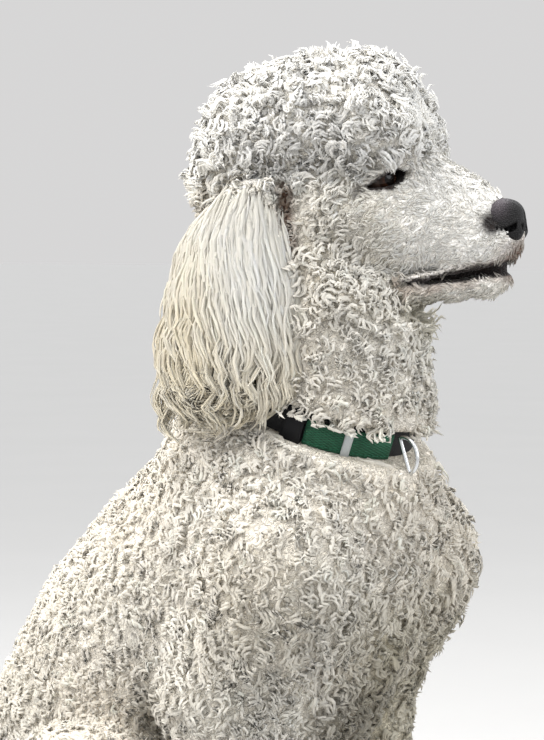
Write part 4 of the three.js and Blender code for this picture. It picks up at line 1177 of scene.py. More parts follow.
def grow_coat(name, region, spacing, nodes=(), *, seed, reach, lean, curl, turns, rings, radius, tip, flat,
              strands, gather, heave, least=3.0, most=16.0):
    """One coat piece of curls over a region of the skin."""
    random = np.random.default_rng(seed)
    mask = shared["regions"][region]
    roots, normals, spots = shared["ground"].scatter(np.where(mask, spacing, 0.0), random)
    _, far, height = in_collar(roots)
    clear = (np.abs(height) > STRAP_WIDTH / 2 + 0.6) | (far > COLLAR_RADIUS + 30)
    clear &= near_ring(roots) > ROOTS_OFF_RING
    roots, normals, spots = roots[clear], normals[clear], spots[clear]
    normals = turned_from_collar(roots, normals)
    depth = np.clip(-tips_field(roots.astype(np.float32)), least, most)
    clumps = Clumps(roots, strands, random)
    heaves = clumps.value(1 - heave, 1 + heave * 0.8)
    lengths = depth * reach * heaves * random.uniform(0.85, 1.08, len(roots))
    curls = np.minimum(curl * clumps.value(0.75, 1.3), lengths * 0.34)
    turned = turns * clumps.value(0.75, 1.25) * np.where(clumps.value(-1, 1) > 0, 1, -1)
    lines, across = curly_lines(roots, normals, clumps, lengths, lean, curls, turned, rings, random, gather)
    lines = parted_at_collar(lines)
    lines[..., 2] = np.maximum(lines[..., 2], OFF_FLOOR)
    free = (near_ring(lines).min(axis=1) > LINES_OFF_RING) & clear_of_eyes(lines)
    roots, normals, spots, lines, across = (rows[free] for rows in (roots, normals, spots, lines, across))
    clumps.member = clumps.member[free]
    taper = 1 - (1 - tip) * np.linspace(0, 1, rings - 1) ** 2
    taper[0] = 0.85
    radii = radius * random.uniform(0.8, 1.2, len(roots))[:, None] * taper[None]
    mesh = tufts_mesh(name, lines, radii, tuft_tints(roots, clumps, random), spots, across, flat)
    face_out(mesh, normals)
    place_piece(name, mesh, shared["coat"], nodes)


class PoodleCoat(bpy.types.PropertyGroup):
    """Sizes and spacing of the coat."""

    body_spacing: FloatProperty(name="Body Spacing", description="Distance between curls on the trunk",
                                default=4.7 * MM, unit="LENGTH")
    leg_spacing: FloatProperty(name="Leg Spacing", description="Distance between curls on the legs",
                               default=4.95 * MM, unit="LENGTH")
    topknot_spacing: FloatProperty(name="Topknot Spacing", description="Distance between the topknot's curls",
                                   default=3.3 * MM, unit="LENGTH")
    face_spacing: FloatProperty(name="Face Spacing", description="Distance between tufts of the face",
                                default=2.85 * MM, unit="LENGTH")
    curl_radius: FloatProperty(name="Curl Radius", description="Radius of the spirals of the body's curls",
                               default=2.4 * MM, unit="LENGTH")
    tuft_radius: FloatProperty(name="Tuft Radius", description="Thickness of a curl at its root, as a radius",
                               default=1.55 * MM, unit="LENGTH")
    ear_locks: IntProperty(name="Ear Locks", description="Locks of long hair on each ear", default=1800)
    seed: IntProperty(name="Seed", description="Seed of the coat's variation", default=7)


class PoodleCollar(bpy.types.PropertyGroup):
    """Colours of the collar."""

    ribbon: FloatVectorProperty(name="Ribbon", description="Colour of the woven ribbon", subtype="COLOR",
                                default=(0.0015, 0.054, 0.023))
    webbing: FloatVectorProperty(name="Webbing", description="Colour of the strap's webbing", subtype="COLOR",
                                 default=(0.005, 0.005, 0.006))
    stitch_gap: FloatProperty(name="Stitch Gap", description="Distance between stitches along the ribbon",
                              default=3.2 * MM, unit="LENGTH")


class PoodleStudio(bpy.types.PropertyGroup):
    """Light, floor and camera."""

    azimuth: FloatProperty(name="Azimuth", description="Way round the dog to the camera, from its right side",
                           default=math.radians(40), subtype="ANGLE", unit="ROTATION")
    elevation: FloatProperty(name="Elevation", description="Height of the camera as an angle",
                             default=math.radians(3), subtype="ANGLE", unit="ROTATION")
    distance: FloatProperty(name="Distance", description="From the camera to the middle of the picture",
                            default=2.0, unit="LENGTH")
    key: FloatProperty(name="Key Light", description="Power of the main light in watts", default=84.0)
    floor: FloatVectorProperty(name="Floor", description="Colour of the floor", subtype="COLOR",
                               default=(0.34, 0.335, 0.33))


# Where the skin's two surfaces are looked for, in millimetres: low corner, high corner, step
HEAD_GRID = ((-70, -125, 553), (200, 125, 775), 2.2)
BODY_GRID = ((-440, -175, -6), (140, 175, 570), 5.0)
# Both are cut level inside the neck, where they overlap a little
HEAD_FROM, BODY_TO = 560.0, 561.5


class POODLE_OT_skin(bpy.types.Operator):
    """Make the skin that lies under the coat, with lids, lips, toes and ear leathers"""

    bl_idname = "poodle.make_skin"
    bl_label = "Make Skin"

    def execute(self, context):
        head, head_quads = surface_of(lambda p: np.maximum(head_field(p), HEAD_FROM - p[:, 2]), *HEAD_GRID)
        body, body_quads = surface_of(lambda p: np.maximum(body_field(p), p[:, 2] - BODY_TO), *BODY_GRID)
        points = np.concatenate([head, body])
        mesh = mesh_from("skin", points, np.concatenate([head_quads, body_quads + len(head)]))
        if len(mesh.vertices) != len(points):
            raise RuntimeError("the skin's surface is broken")
        colour_points(mesh, "tint", markings_and_painted_light(points))
        # How deep the coat is over the skin, which darkens the ground as painted shade.
        mark_points(mesh, "deep", np.clip(-tips_field(points.astype(np.float32)) / 8, 0, 1))
        flesh = ["torso", "neck", "head", "lower_jaw"]
        flesh += [f"{leg}_{side}" for leg in ("fore_leg", "hind_leg") for side in SIDES]
        unwrap(place_piece("skin", mesh, skin_finish(), flesh))
        shared["ground"] = Ground(mesh, points)
        shared["regions"] = region_masks(shared["ground"].middle)
        shared["coat"] = coat_finish()
        return {"FINISHED"}


class POODLE_OT_body_coat(bpy.types.Operator):
    """Grow the curls of the trunk, neck, legs and tail"""

    bl_idname = "poodle.make_body_coat"
    bl_label = "Make Body Coat"

    def execute(self, context):
        sizes = context.scene.poodle_coat
        body, leg, curl = sizes.body_spacing / MM, sizes.leg_spacing / MM, sizes.curl_radius / MM
        tight = dict(seed=sizes.seed, reach=2.2, lean=1.15, curl=curl, turns=1.55, rings=7, heave=0.2,
                     radius=sizes.tuft_radius / MM, strands=4, gather=0.5, flat=0.7, tip=0.7)
        loose = dict(tight, seed=sizes.seed + 1, reach=2.6, lean=1.4, turns=1.4, flat=0.65)
        plush = dict(tight, seed=sizes.seed + 2, curl=curl * 0.8, heave=0.14)
        legs = dict(tight, seed=sizes.seed + 3, curl=curl * 0.9, heave=0.16)
        thick = dict(legs, seed=sizes.seed + 4, radius=1.95)
        tail = dict(thick, seed=sizes.seed + 5, curl=3.0, turns=1.6)
        for name, region, spacing, nodes, options in (
            ("coat_neck", "neck", body, [], tight),
            ("coat_chest", "chest", body * 0.94, [], loose),
            ("coat_back_right", "back_right", body * 0.96, [], plush),
            ("coat_back_left", "back_left", body * 1.26, [], dict(plush, radius=2.0)),
            ("coat_fore_leg_right", "fore_legs_right", leg, [], legs),
            ("coat_fore_leg_left", "fore_legs_left", leg * 1.16, [], thick),
            ("coat_hind_leg_right", "hind_legs_right", leg, [], legs),
            ("coat_hind_leg_left", "hind_legs_left", leg * 1.3, [], thick),
            ("coat_tail", "tail", leg * 1.3, ["tail"], tail),
        ):
            grow_coat(name, region, spacing, nodes, **options)
        return {"FINISHED"}


class POODLE_OT_topknot(bpy.types.Operator):
    """Grow the fluffy curls on top of the head"""

    bl_idname = "poodle.make_topknot"
    bl_label = "Make Topknot"

    def execute(self, context):
        sizes = context.scene.poodle_coat
        grow_coat("coat_topknot", "topknot", sizes.topknot_spacing / MM, ["topknot"], seed=sizes.seed + 6,
                  reach=1.15, lean=0.75, curl=2.7, turns=1.4, rings=8, flat=0.6, radius=1.5, tip=0.7,
                  most=26.0, least=10.0, heave=0.42, strands=5, gather=0.5)
        return {"FINISHED"}


class POODLE_OT_face_coat(bpy.types.Operator):
    """Lay the very short hair of the face, jaw and throat"""

    bl_idname = "poodle.make_face_coat"
    bl_label = "Make Face Coat"

    def execute(self, context):
        sizes = context.scene.poodle_coat
        ground = shared["ground"]
        random = np.random.default_rng(sizes.seed + 7)
        middle = ground.middle
        behind, _, _ = head_coordinates(middle)
        bare = (mouth_gap(middle) < -0.3) | (nose_seat(middle) > -2.6)
        for side in BOTH:
            opening, far = eye_opening(side, middle)
            bare |= (opening < 2.4) & (far < EYE_RADIUS + 9)
            bare |= np.linalg.norm(middle - on_side(WING_PLACE, side), axis=1) < WING_BARE
        spacing = sizes.face_spacing / MM * np.clip(0.8 + (behind - 60) / 220, 0.8, 1.2)
        mask = shared["regions"]["face"] & ~bare
        roots, normals, spots = ground.scatter(np.where(mask, spacing, 0.0), random)
        behind, _, height = head_coordinates(roots)
        fluff = np.clip((behind - 70) / 45 + (608 - height) / 90, 0, 1)
        lengths = (4.6 + 6.0 * fluff) * random.uniform(0.75, 1.2, len(roots))
        curl = (0.45 + 1.5 * fluff) * random.uniform(0.6, 1.2, len(roots))
        turns = 0.5 + fluff * random.uniform(0.5, 1.0, len(roots))
        clumps = Clumps(roots, 5, random)
        lines, across = curly_lines(roots, normals, clumps, lengths, 1.9 - fluff, curl, turns, 6, random, 0.4)
        lines += normals[:, None, :]
        radii = (0.72 + 0.75 * fluff)[:, None] * np.array([0.9, 1.0, 0.95, 0.8, 0.5])
        tints = tuft_tints(roots, clumps, random, 0.04)
        free = clear_of_eyes(lines)
        mesh = tufts_mesh("coat_face", lines[free], radii[free], tints[free], spots[free], across[free], 0.6)
        face_out(mesh, normals[free])
        place_piece("coat_face", mesh, shared["coat"])
        return {"FINISHED"}


class POODLE_OT_ears(bpy.types.Operator):
    """Hang the long wavy locks of both ears"""

    bl_idname = "poodle.make_ears"
    bl_label = "Make Ears"

    def execute(self, context):
        sizes = context.scene.poodle_coat
        for number, (name, side) in enumerate(SIDES.items()):
            random = np.random.default_rng(sizes.seed + 8 + number)
            share = 1 if side < 0 else 0.55
            under = self.locks(side, int(sizes.ear_locks * 0.25 * share), 30, 2.6 / share ** 0.5, 0.5, random)
            over = self.locks(side, int(sizes.ear_locks * share), 26, 1.7 / share ** 0.5, 1.0, random)
            lines, radii, tints, outwards = (np.concatenate(pair) for pair in zip(under, over))
            across = np.broadcast_to(HEAD_FORWARD, (len(lines), 3))
            spots = self.spots_at(lines[:, 0])
            mesh = tufts_mesh(f"coat_ear_{name}", lines, radii, tints, spots, across, 0.45, streaks=7.0)
            face_out(mesh, outwards)
            place_piece(f"coat_ear_{name}", mesh, shared["coat"], [f"ear_{name}"])
        return {"FINISHED"}

    def locks(self, side, count, bundles, radius, layer_top, random):
        """Strands that gather into wavy bundles with curled ends as they fall."""
        rings = 15
        share = np.linspace(0, 1, rings)[None, :] ** 0.8
        # What the strands of a bundle have in common
        bundle = random.integers(0, bundles, count)
        bundle_across = np.linspace(-0.97, 0.97, bundles)[random.permutation(bundles)][bundle]
        bundle_turn = random.uniform(0, 2 * np.pi, bundles)[bundle]
        bundle_low = random.uniform(0, 30, bundles)[bundle]
        bundle_wave = random.uniform(0.7, 1.3, bundles)[bundle]
        bundle_length = random.uniform(30, 52, bundles)[bundle]
        bundle_hook = random.choice((-1, 1), bundles)[bundle] * random.uniform(0.5, 1.3, bundles)[bundle]
        # Where each strand starts and ends
        across = np.clip(bundle_across + random.normal(0, 0.15, count), -1, 1)
        stray = random.normal(0, 1.0, (count, 3))
        start = 556 + 106 * random.uniform(0, 1, count) ** 0.75 - 16 * np.abs(across) ** 3
        layer = 0.35 + 0.6 * (start - 540) / 110 + random.normal(0, 0.1, count)
        layer = np.clip(layer, 0.2, 1) * layer_top
        low = 462 + 26 * across ** 2 + bundle_low + random.uniform(0, 10, count)
        reach = np.where(random.uniform(size=count) < 0.45, random.uniform(0.4, 0.8, count), 1.0)
        hooked = (reach == 1) & (layer_top == 1)
        low = start + (low - start) * reach * np.where(hooked, 1.0, 0.86)
        curled = hooked & (np.abs(bundle_across) < 0.6)
        bundle_hook = np.where(curled, bundle_hook, 0.2 * np.sign(bundle_hook))
        # The strand's line within the ear's outline, drawn to its bundle and waved
        height = start[:, None] + (low - start)[:, None] * share
        gather = np.clip((615 - height) / 90, 0, 1) * 0.88
        across = across[:, None] + (bundle_across - across)[:, None] * gather
        heights, *outline = EAR_OUTLINE[::-1].T
        middle, half, depth = (np.interp(height, heights, row) for row in outline)
        drop = np.clip((610 - height) / 110, 0, 1)
        phase = bundle_turn[:, None] + random.normal(0, 0.13, count)[:, None]
        phase = phase + height * (2 * np.pi / bundle_length)[:, None]
        swell = (1.1 + 4.6 * drop ** 1.2) * bundle_wave[:, None]
        behind = middle + across * half * 0.96 + np.sin(phase) * swell
        behind = behind + (stray[:, :1] + stray[:, 1:2] * np.sin(height * 0.055 + stray[:, 2:])) * 1.5
        # The curled end
        bent = np.clip((share - 0.82) / 0.18, 0, 1) * np.where(np.abs(bundle_hook) > 0.3, 2.6, 0)[:, None]
        hook = 5.0 * np.abs(bundle_hook)[:, None]
        behind = behind + np.sign(bundle_hook)[:, None] * hook * (1 - np.cos(bent))
        height = height + np.where(bent > 0, (start - low)[:, None] * (share - 0.82) - hook * np.sin(bent), 0)
        # How far the strand lies over the leather
        rise = np.sqrt(np.clip(1 - across ** 2, 0.05, 1)) * depth * layer[:, None]
        out = 2.5 + rise * np.clip(share * 4 + 0.5, 0, 1) + np.cos(phase) * swell * 0.6
        out = out + (stray[:, 1:2] + 1) * drop * 1.2
        sunk = np.clip(1 - share * 7, 0, 1) * np.clip((start[:, None] - 600) / 30, 0, 1) * 9
        lines = over_ear(side, behind, height, np.maximum(out, 0.8) - sunk)
        taper = np.concatenate([[0.2, 0.6], np.linspace(1.0, 0.4, rings - 3)])
        fine = random.uniform(size=count) < 0.4
        radii = radius * np.where(fine, 0.5, random.uniform(0.8, 1.25, count))[:, None] * taper[None]
        # Cream towards the tips and the rear edge
        rear = np.clip(across * 0.9 + 0.1, 0, 0.6)
        aged = np.clip((590 - height) / 85 + rear, 0, 1)[..., None]
        aged = aged * (0.55 + 0.45 * random.uniform(size=(count, 1, 1)))
        tints = EAR_PALE + (EAR_CREAM - EAR_PALE) * aged
        tints = tints * (1 + random.normal(0, 0.06, count))[:, None, None]
        turn = np.mean(across, axis=1)[:, None] * 1.1
        outwards = unit(side * HEAD_LEFT * np.cos(turn) - HEAD_FORWARD * np.sin(turn))
        return lines, radii, np.clip(tints, 0, 0.96), outwards

    def spots_at(self, roots):
        """Where the nearest triangles of the ear's skin are on its unwrap."""
        ground = shared["ground"]
        among = np.nonzero(shared["regions"]["ears"])[0]
        spots = np.empty((len(roots), 2))
        for i in range(0, len(roots), 200):
            apart = roots[i:i + 200, None, :] - ground.middle[among][None]
            nearest = among[np.argmin((apart ** 2).sum(-1), axis=1)]
            spots[i:i + 200] = ground.uv[nearest].mean(1)
        return spots


class POODLE_OT_eyes(bpy.types.Operator):
    """Make the eyeballs with a clear dark shine"""

    bl_idname = "poodle.make_eyes"
    bl_label = "Make Eyes"

    def execute(self, context):
        for name, side in SIDES.items():
            centre, gaze, back = eye_frame(side)
            points, faces = self.ball(centre, gaze, back)
            mesh = mesh_from(f"eyeball_{name}", points, faces)
            mark_points(mesh, "facing", (gaze[None, :] @ (points - centre).T / EYE_RADIUS).ravel())
            place_piece(f"eyeball_{name}", mesh, self.finish(), [f"eye_{name}"])
        return {"FINISHED"}

    def ball(self, centre, gaze, back):
        """A sphere about the gaze with a slightly raised cornea."""
        rings, sides = 26, 40
        up = np.cross(gaze, back)
        points = [centre + gaze * (EYE_RADIUS + 0.5)]
        for ring in range(1, rings):
            turn = np.pi * ring / rings
            lift = 0.5 * max(0.0, 1 - (turn / 0.62) ** 2)
            for side in range(sides):
                angle = 2 * np.pi * side / sides
                way = gaze * np.cos(turn) + np.sin(turn) * (back * np.cos(angle) + up * np.sin(angle))
                points.append(centre + way * (EYE_RADIUS + lift))
        points.append(centre - gaze * EYE_RADIUS)
        faces = []
        for side in range(sides):
            after = (side + 1) % sides
            faces.append((0, 1 + side, 1 + after))
            base = 1 + (rings - 2) * sides
            faces.append((len(points) - 1, base + after, base + side))
            for ring in range(rings - 2):
                a, b = 1 + ring * sides + side, 1 + ring * sides + after
                faces += [(a, a + sides, b + sides), (a, b + sides, b)]
        return np.array(points), np.array(faces)

    def finish(self):
        finish = Finish("eye_glass")
        facing = finish.attribute("facing", "Fac")
        flecks = finish.noise(finish.place(), 1800.0, 3.0)
        white = (0.05, 0.032, 0.025)
        shade = finish.ramp(facing, [(0.0, white), (0.70, white), (0.76, (0.012, 0.006, 0.004)),
                                     (0.93, (0.030, 0.012, 0.006)), (0.965, (0.003, 0.003, 0.003))])
        shade = finish.mix(flecks * 0.25, shade, (0.02, 0.01, 0.006))
        finish.set(Base_Color=shade, Roughness=0.1, Specular_IOR_Level=0.18)
        return finish.material


class POODLE_OT_nose(bpy.types.Operator):
    """Make the nose leather with its nostrils and groove"""

    bl_idname = "poodle.make_nose"
    bl_label = "Make Nose"

    def execute(self, context):
        centre = in_head(*NOSE_PLACE)
        points, quads = surface_of(self.field, centre - 24, centre + 24, 0.9)
        mesh = mesh_from("nose_leather", points, quads)
        behind, _, height = head_coordinates(points)
        # Painted sheen: the leather is lighter and greyer on its top, away from its tip, where light from
        # above falls on it.
        worn = np.clip((height - NOSE_PLACE[2] - 2) / 13, 0, 1) * np.clip((behind - 12) / 9, 0, 1)
        mark_points(mesh, "worn", worn)
        place_piece("nose_leather", mesh, self.finish(), ["nose"])
        return {"FINISHED"}

    def field(self, points):
        behind, left, height = head_coordinates(points)
        b, v, z = behind - NOSE_PLACE[0], left, height - NOSE_PLACE[2]
        wing = np.sqrt(((b + 3) / 12) ** 2 + ((np.abs(v) - 9.0) / 8.6) ** 2 + ((z + 3) / 9.5) ** 2)
        field = joined(nose_form(points), (wing - 1) * 8.8, 4)
        swirl = np.sqrt((np.abs(v) - 7.6) ** 2 / 10.0 + (z + 0.5) ** 2 / 8.5)
        hole = np.maximum((swirl - 1) * 2.9, b + 5.0)
        tail = z + 3.4 + 0.30 * (b + 4) - 0.02 * (b + 4) ** 2
        slit = np.maximum(np.abs(tail) - np.clip(2.3 - 0.12 * (b + 8), 0.8, 2.4), 10.0 - np.abs(v))
        slit = np.maximum(slit, np.abs(b + 2) - 9.5)
        groove = np.sqrt(v ** 2 + (b + 15.0) ** 2) - 1.1 - np.clip(-z * 0.06, 0, 0.7)
        for cut in (hole, slit, groove):
            blend = np.maximum(1.6 - np.abs(field + cut), 0) / 1.6
            field = np.maximum(field, -cut) + blend * blend * 0.4
        return field.astype(np.float32)

    def finish(self):
        finish = Finish("nose_leather")
        place = finish.place()
        cells = finish.node("ShaderNodeTexVoronoi", {"feature": "DISTANCE_TO_EDGE"},
                            {"Vector": place, "Scale": 620.0}).value(0)
        grain = finish.noise(place, 240.0, 3.0)
        pebble = finish.ramp(cells, [(0.0, (0, 0, 0)), (0.22, (1, 1, 1))])
        shade = finish.mix(grain, (0.003, 0.0028, 0.0028), (0.009, 0.008, 0.008))
        # Painted sheen over the top of the leather.
        shade = finish.mix(finish.attribute("worn", "Fac") * 0.9, shade, (0.095, 0.08, 0.09))
        finish.set(Base_Color=shade, Roughness=0.46 + grain * 0.2, Normal=finish.bump(pebble, 0.0006, 1.0))
        finish.set(Specular_IOR_Level=0.25)
        return finish.material


class POODLE_OT_claws(bpy.types.Operator):
    """Make the dark claws on every toe"""

    bl_idname = "poodle.make_claws"
    bl_label = "Make Claws"

    def execute(self, context):
        lines = []
        for side in BOTH:
            for x, y in (FORE_PAW, HIND_PAW):
                for place, reach in TOES:
                    start = np.array([x + reach + 8, side * y + place, 12.5])
                    share = np.linspace(0, 1, 6)[:, None]
                    lines.append(start + share * np.array([11.0, 0, 0]) - share ** 2 * np.array([0, 0, 9.0]))
        lines = np.array(lines)
        radii = np.tile(np.array([2.3, 2.2, 1.8, 1.3, 0.8]), (len(lines), 1))
        across = np.broadcast_to(ACROSS, (len(lines), 3))
        tints = np.tile((0.03, 0.027, 0.026), (len(lines), 1))
        mesh = tufts_mesh("claws", lines, radii, tints, None, across, 1.0, 10)
        finish = Finish("claw_horn")
        grain = finish.noise(finish.stretched(finish.place(), (1.0, 6.0, 6.0)), 300.0, 3.0)
        shade = finish.mix(grain, (0.020, 0.017, 0.016), (0.075, 0.062, 0.055))
        finish.set(Base_Color=shade, Roughness=0.34, Normal=finish.bump(grain, 0.0002, 0.4))
        place_piece("claws", mesh, finish.material)
        return {"FINISHED"}


def collar_points(around, radius, height):
    """Points on the collar's own ring, tilted so that it hangs lower at the throat."""
    around, radius, height = np.broadcast_arrays(around, radius, height)
    x, y, z = radius * np.cos(around), radius * np.sin(around), height
    turned_x = x * math.cos(COLLAR_TILT) + z * math.sin(COLLAR_TILT)
    turned_z = -x * math.sin(COLLAR_TILT) + z * math.cos(COLLAR_TILT)
    return np.stack([COLLAR_PLACE[0] + turned_x, y, COLLAR_PLACE[1] + turned_z], -1)


def band_mesh(name, inner, outer, low, high, start, end, bevel=0.35):
    """A strap with rounded edges along the collar's ring, from one angle to another in degrees."""
    section = [
        (inner, low + bevel), (inner + bevel, low), (outer - bevel, low), (outer, low + bevel),
        (outer, high - bevel), (outer - bevel, high), (inner + bevel, high), (inner, high - bevel),
    ]
    radius, height = np.array(section).T
    closed = end - start == 360
    start, end = math.radians(start), math.radians(end)
    angles = np.linspace(start, end, max(int((end - start) / math.radians(2.0)), 4) + 1)
    if closed:
        angles = angles[:-1]
    rings, sides = len(angles), len(section)
    points = collar_points(angles[:, None], radius[None], height[None]).reshape(-1, 3)
    faces = []
    for i in range(rings if closed else rings - 1):
        j = (i + 1) % rings
        for k in range(sides):
            m = (k + 1) % sides
            faces.append((i * sides + k, j * sides + k, j * sides + m, i * sides + m))
    mesh = mesh_from(name, points, faces)
    if not closed:
        mesh = sealed(mesh, (range(sides), range(rings * sides - 1, (rings - 1) * sides - 1, -1)))
    map_points(mesh, "weave", np.stack([np.repeat(angles * outer, sides), np.tile(height, rings)], 1) * MM)
    return mesh


def sealed(mesh, ends=()):
    """Closes a mesh by faces over rings of its points, and turns all faces outwards."""
    bm = bmesh.new()
    bm.from_mesh(mesh)
    bm.verts.ensure_lookup_table()
    for end in ends:
        bm.faces.new([bm.verts[k] for k in end])
    bmesh.ops.recalc_face_normals(bm, faces=bm.faces)
    bm.to_mesh(mesh)
    bm.free()
    return mesh


def scaled(colour, factor, lift=0.0):
    return tuple(c * factor + lift for c in colour)


class POODLE_OT_collar(bpy.types.Operator):
    """Make the collar: webbing, woven ribbon, keeper, slider, buckle and ring"""

    bl_idname = "poodle.make_collar"
    bl_label = "Make Collar"

    def execute(self, context):
        colours = context.scene.poodle_collar
        webbing = self.webbing_finish(colours.webbing)
        ribbon = self.ribbon_finish(colours.ribbon)
        black = self.plastic_finish("black_plastic", (0.005, 0.005, 0.006), 0.5)
        grey = self.plastic_finish("grey_plastic", (0.42, 0.44, 0.44), 0.25)
        top = STRAP_WIDTH / 2
        # Piece, node, material, inner and outer radius, lower and upper edge, start and end in degrees, bevel
        for name, node, material, *sizes in (
            ("collar_webbing", "collar_strap", webbing,
             COLLAR_RADIUS, COLLAR_RADIUS + STRAP_THICKNESS, -top, top, 0, 360, 0.5),
            ("collar_woven_ribbon", "collar_ribbon", ribbon,
             RIBBON_IN, RIBBON_OUT, -top - 1, top - 3, -64, -6),
            ("collar_keeper_loop", "collar_keeper", grey,
             RIBBON_OUT + 0.3, RIBBON_OUT + 1.8, -top - 1.5, top - 2, -40, -35),
            ("collar_slider_plate", "collar_slider", black,
             RIBBON_IN, RIBBON_IN + 4, -top - 3, top + 3, -78, -65, 1.0),
            ("collar_buckle_shell", "collar_buckle", black,
             RIBBON_IN, RIBBON_IN + 5, -top - 2, top + 2, 70, 96, 1.4),
        ):
            place_piece(name, band_mesh(name, *sizes), material, [node])
        place_piece("collar_ring", self.ring_mesh(), self.steel_finish(), ["collar_d_ring"])
        self.stitches(colours.stitch_gap)
        return {"FINISHED"}

    def ring_mesh(self):
        """The bent wire of the D-shaped ring, with its bar along Y and its bow towards -Z."""
        turn = ring_frame()
        path = []
        for i in range(33):
            angle = math.pi * i / 32
            path.append((0, RING_RADIUS * math.cos(angle), -RING_BULGE * math.sin(angle)))
        path += [(0, -RING_RADIUS + 2 * RING_RADIUS * i / 12, 0) for i in range(1, 12)]
        path = np.array([turn @ Vector(p) for p in path])
        tangent = unit(np.roll(path, -1, 0) - np.roll(path, 1, 0))
        outward = np.array((turn.to_3x3() @ Vector((1, 0, 0)))[:])
        side = np.cross(tangent, outward)
        angles = 2 * np.pi * np.arange(12) / 12
        points = path[:, None] + RING_WIRE * (
            np.cos(angles)[None, :, None] * outward + np.sin(angles)[None, :, None] * side[:, None]
        )
        faces = []
        for i in range(len(path)):
            j = (i + 1) % len(path)
            for k in range(12):
                m = (k + 1) % 12
                faces.append((i * 12 + k, i * 12 + m, j * 12 + m, j * 12 + k))
        return sealed(mesh_from("collar_ring", points.reshape(-1, 3), faces))

    def stitches(self, gap):
        """Stitches along both edges of the ribbon, set out by Geometry Nodes."""
        rows = []
        for height in (-STRAP_WIDTH / 2 + 1.2, STRAP_WIDTH / 2 - 5.2):
            angles = np.linspace(math.radians(-63), math.radians(-7), 90)
            rows.append(metres(collar_points(angles, RIBBON_OUT + 0.05, height)))
        mesh = bpy.data.meshes.new("stitch_lines")
        points = np.concatenate(rows)
        edges = [(i, i + 1) for i in range(len(points) - 1) if i != len(rows[0]) - 1]
        mesh.from_pydata([tuple(p) for p in points], edges, [])
        lines = linked("stitch_lines", mesh)
        thread = Finish("ribbon_thread")
        twist = thread.noise(thread.place(), 2200.0, 2.0)
        shade = thread.mix(twist, (0.003, 0.07, 0.03), (0.008, 0.14, 0.07))
        thread.set(Base_Color=shade, Roughness=0.7)
        tree = stitch_tree(thread.material)
        modifier = lines.modifiers.new("stitches", "NODES")
        modifier.node_group = tree
        sizes = {"Gap": gap, "Length": gap * 0.62, "Thickness": 0.28 * MM}
        for item in tree.interface.items_tree:
            if item.item_type == "SOCKET" and item.in_out == "INPUT" and item.name in sizes:
                modifier[item.identifier] = sizes[item.name]
        bpy.context.view_layer.update()
        made = bpy.data.meshes.new_from_object(lines.evaluated_get(bpy.context.evaluated_depsgraph_get()))
        lines.modifiers.clear()
        bpy.data.objects.remove(lines)
        made.name = "collar_stitches"
        piece = linked("collar_stitches", made)
        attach(piece, "root")

    def webbing_finish(self, colour):
        finish = Finish("nylon_webbing")
        weave = self.weave(finish, 0.0011, 0.0017)
        shade = finish.mix(weave, scaled(colour, 0.5), scaled(colour, 2.2))
        finish.set(Base_Color=shade, Roughness=0.78, Normal=finish.bump(weave, 0.0004, 0.8))
        return finish.material

    def ribbon_finish(self, colour):
        finish = Finish("woven_ribbon")
        weave = self.weave(finish, 0.0052, 0.0019)
        wear = finish.noise(finish.place(), 260.0, 3.0)
        # Lighter on the weave's raised ribs: the ribbon's woven pattern, with painted sheen on the ribs.
        shade = finish.mix(weave * wear * 1.1, scaled(colour, 0.75), scaled(colour, 2.6, 0.008))
        finish.set(Base_Color=shade, Roughness=0.7, Normal=finish.bump(weave, 0.0005, 0.9))
        return finish.material

    def weave(self, finish, along, across):
        """Ribs of warp and weft along a band, from 0 in the gaps to 1."""
        place = finish.node("ShaderNodeUVMap", {"uv_map": "weave"}, {}).value(0)
        split = finish.node("ShaderNodeSeparateXYZ", {}, {0: place})
        ribs = []
        for way, gap in enumerate((along, across)):
            turn = split.value(way) * (2 * math.pi / gap)
            ribs.append(finish.node("ShaderNodeMath", {"operation": "SINE"}, {0: turn}).value(0))
        return ribs[0] * ribs[1] * 0.5 + 0.5

    def plastic_finish(self, name, colour, roughness):
        finish = Finish(name)
        grain = finish.noise(finish.place(), 900.0, 2.0)
        shade = finish.mix(grain, scaled(colour, 0.85), scaled(colour, 1.15))
        finish.set(Base_Color=shade, Roughness=grain * 0.12 + roughness)
        finish.set(Normal=finish.bump(grain, 0.0001, 0.3))
        finish.set(Specular_IOR_Level=0.2)
        return finish.material

    def steel_finish(self):
        finish = Finish("ring_steel")
        grain = finish.noise(finish.place(), 500.0, 3.0)
        finish.set(Base_Color=(0.72, 0.73, 0.74), Metallic=1.0, Roughness=grain * 0.15 + 0.16)
        return finish.material


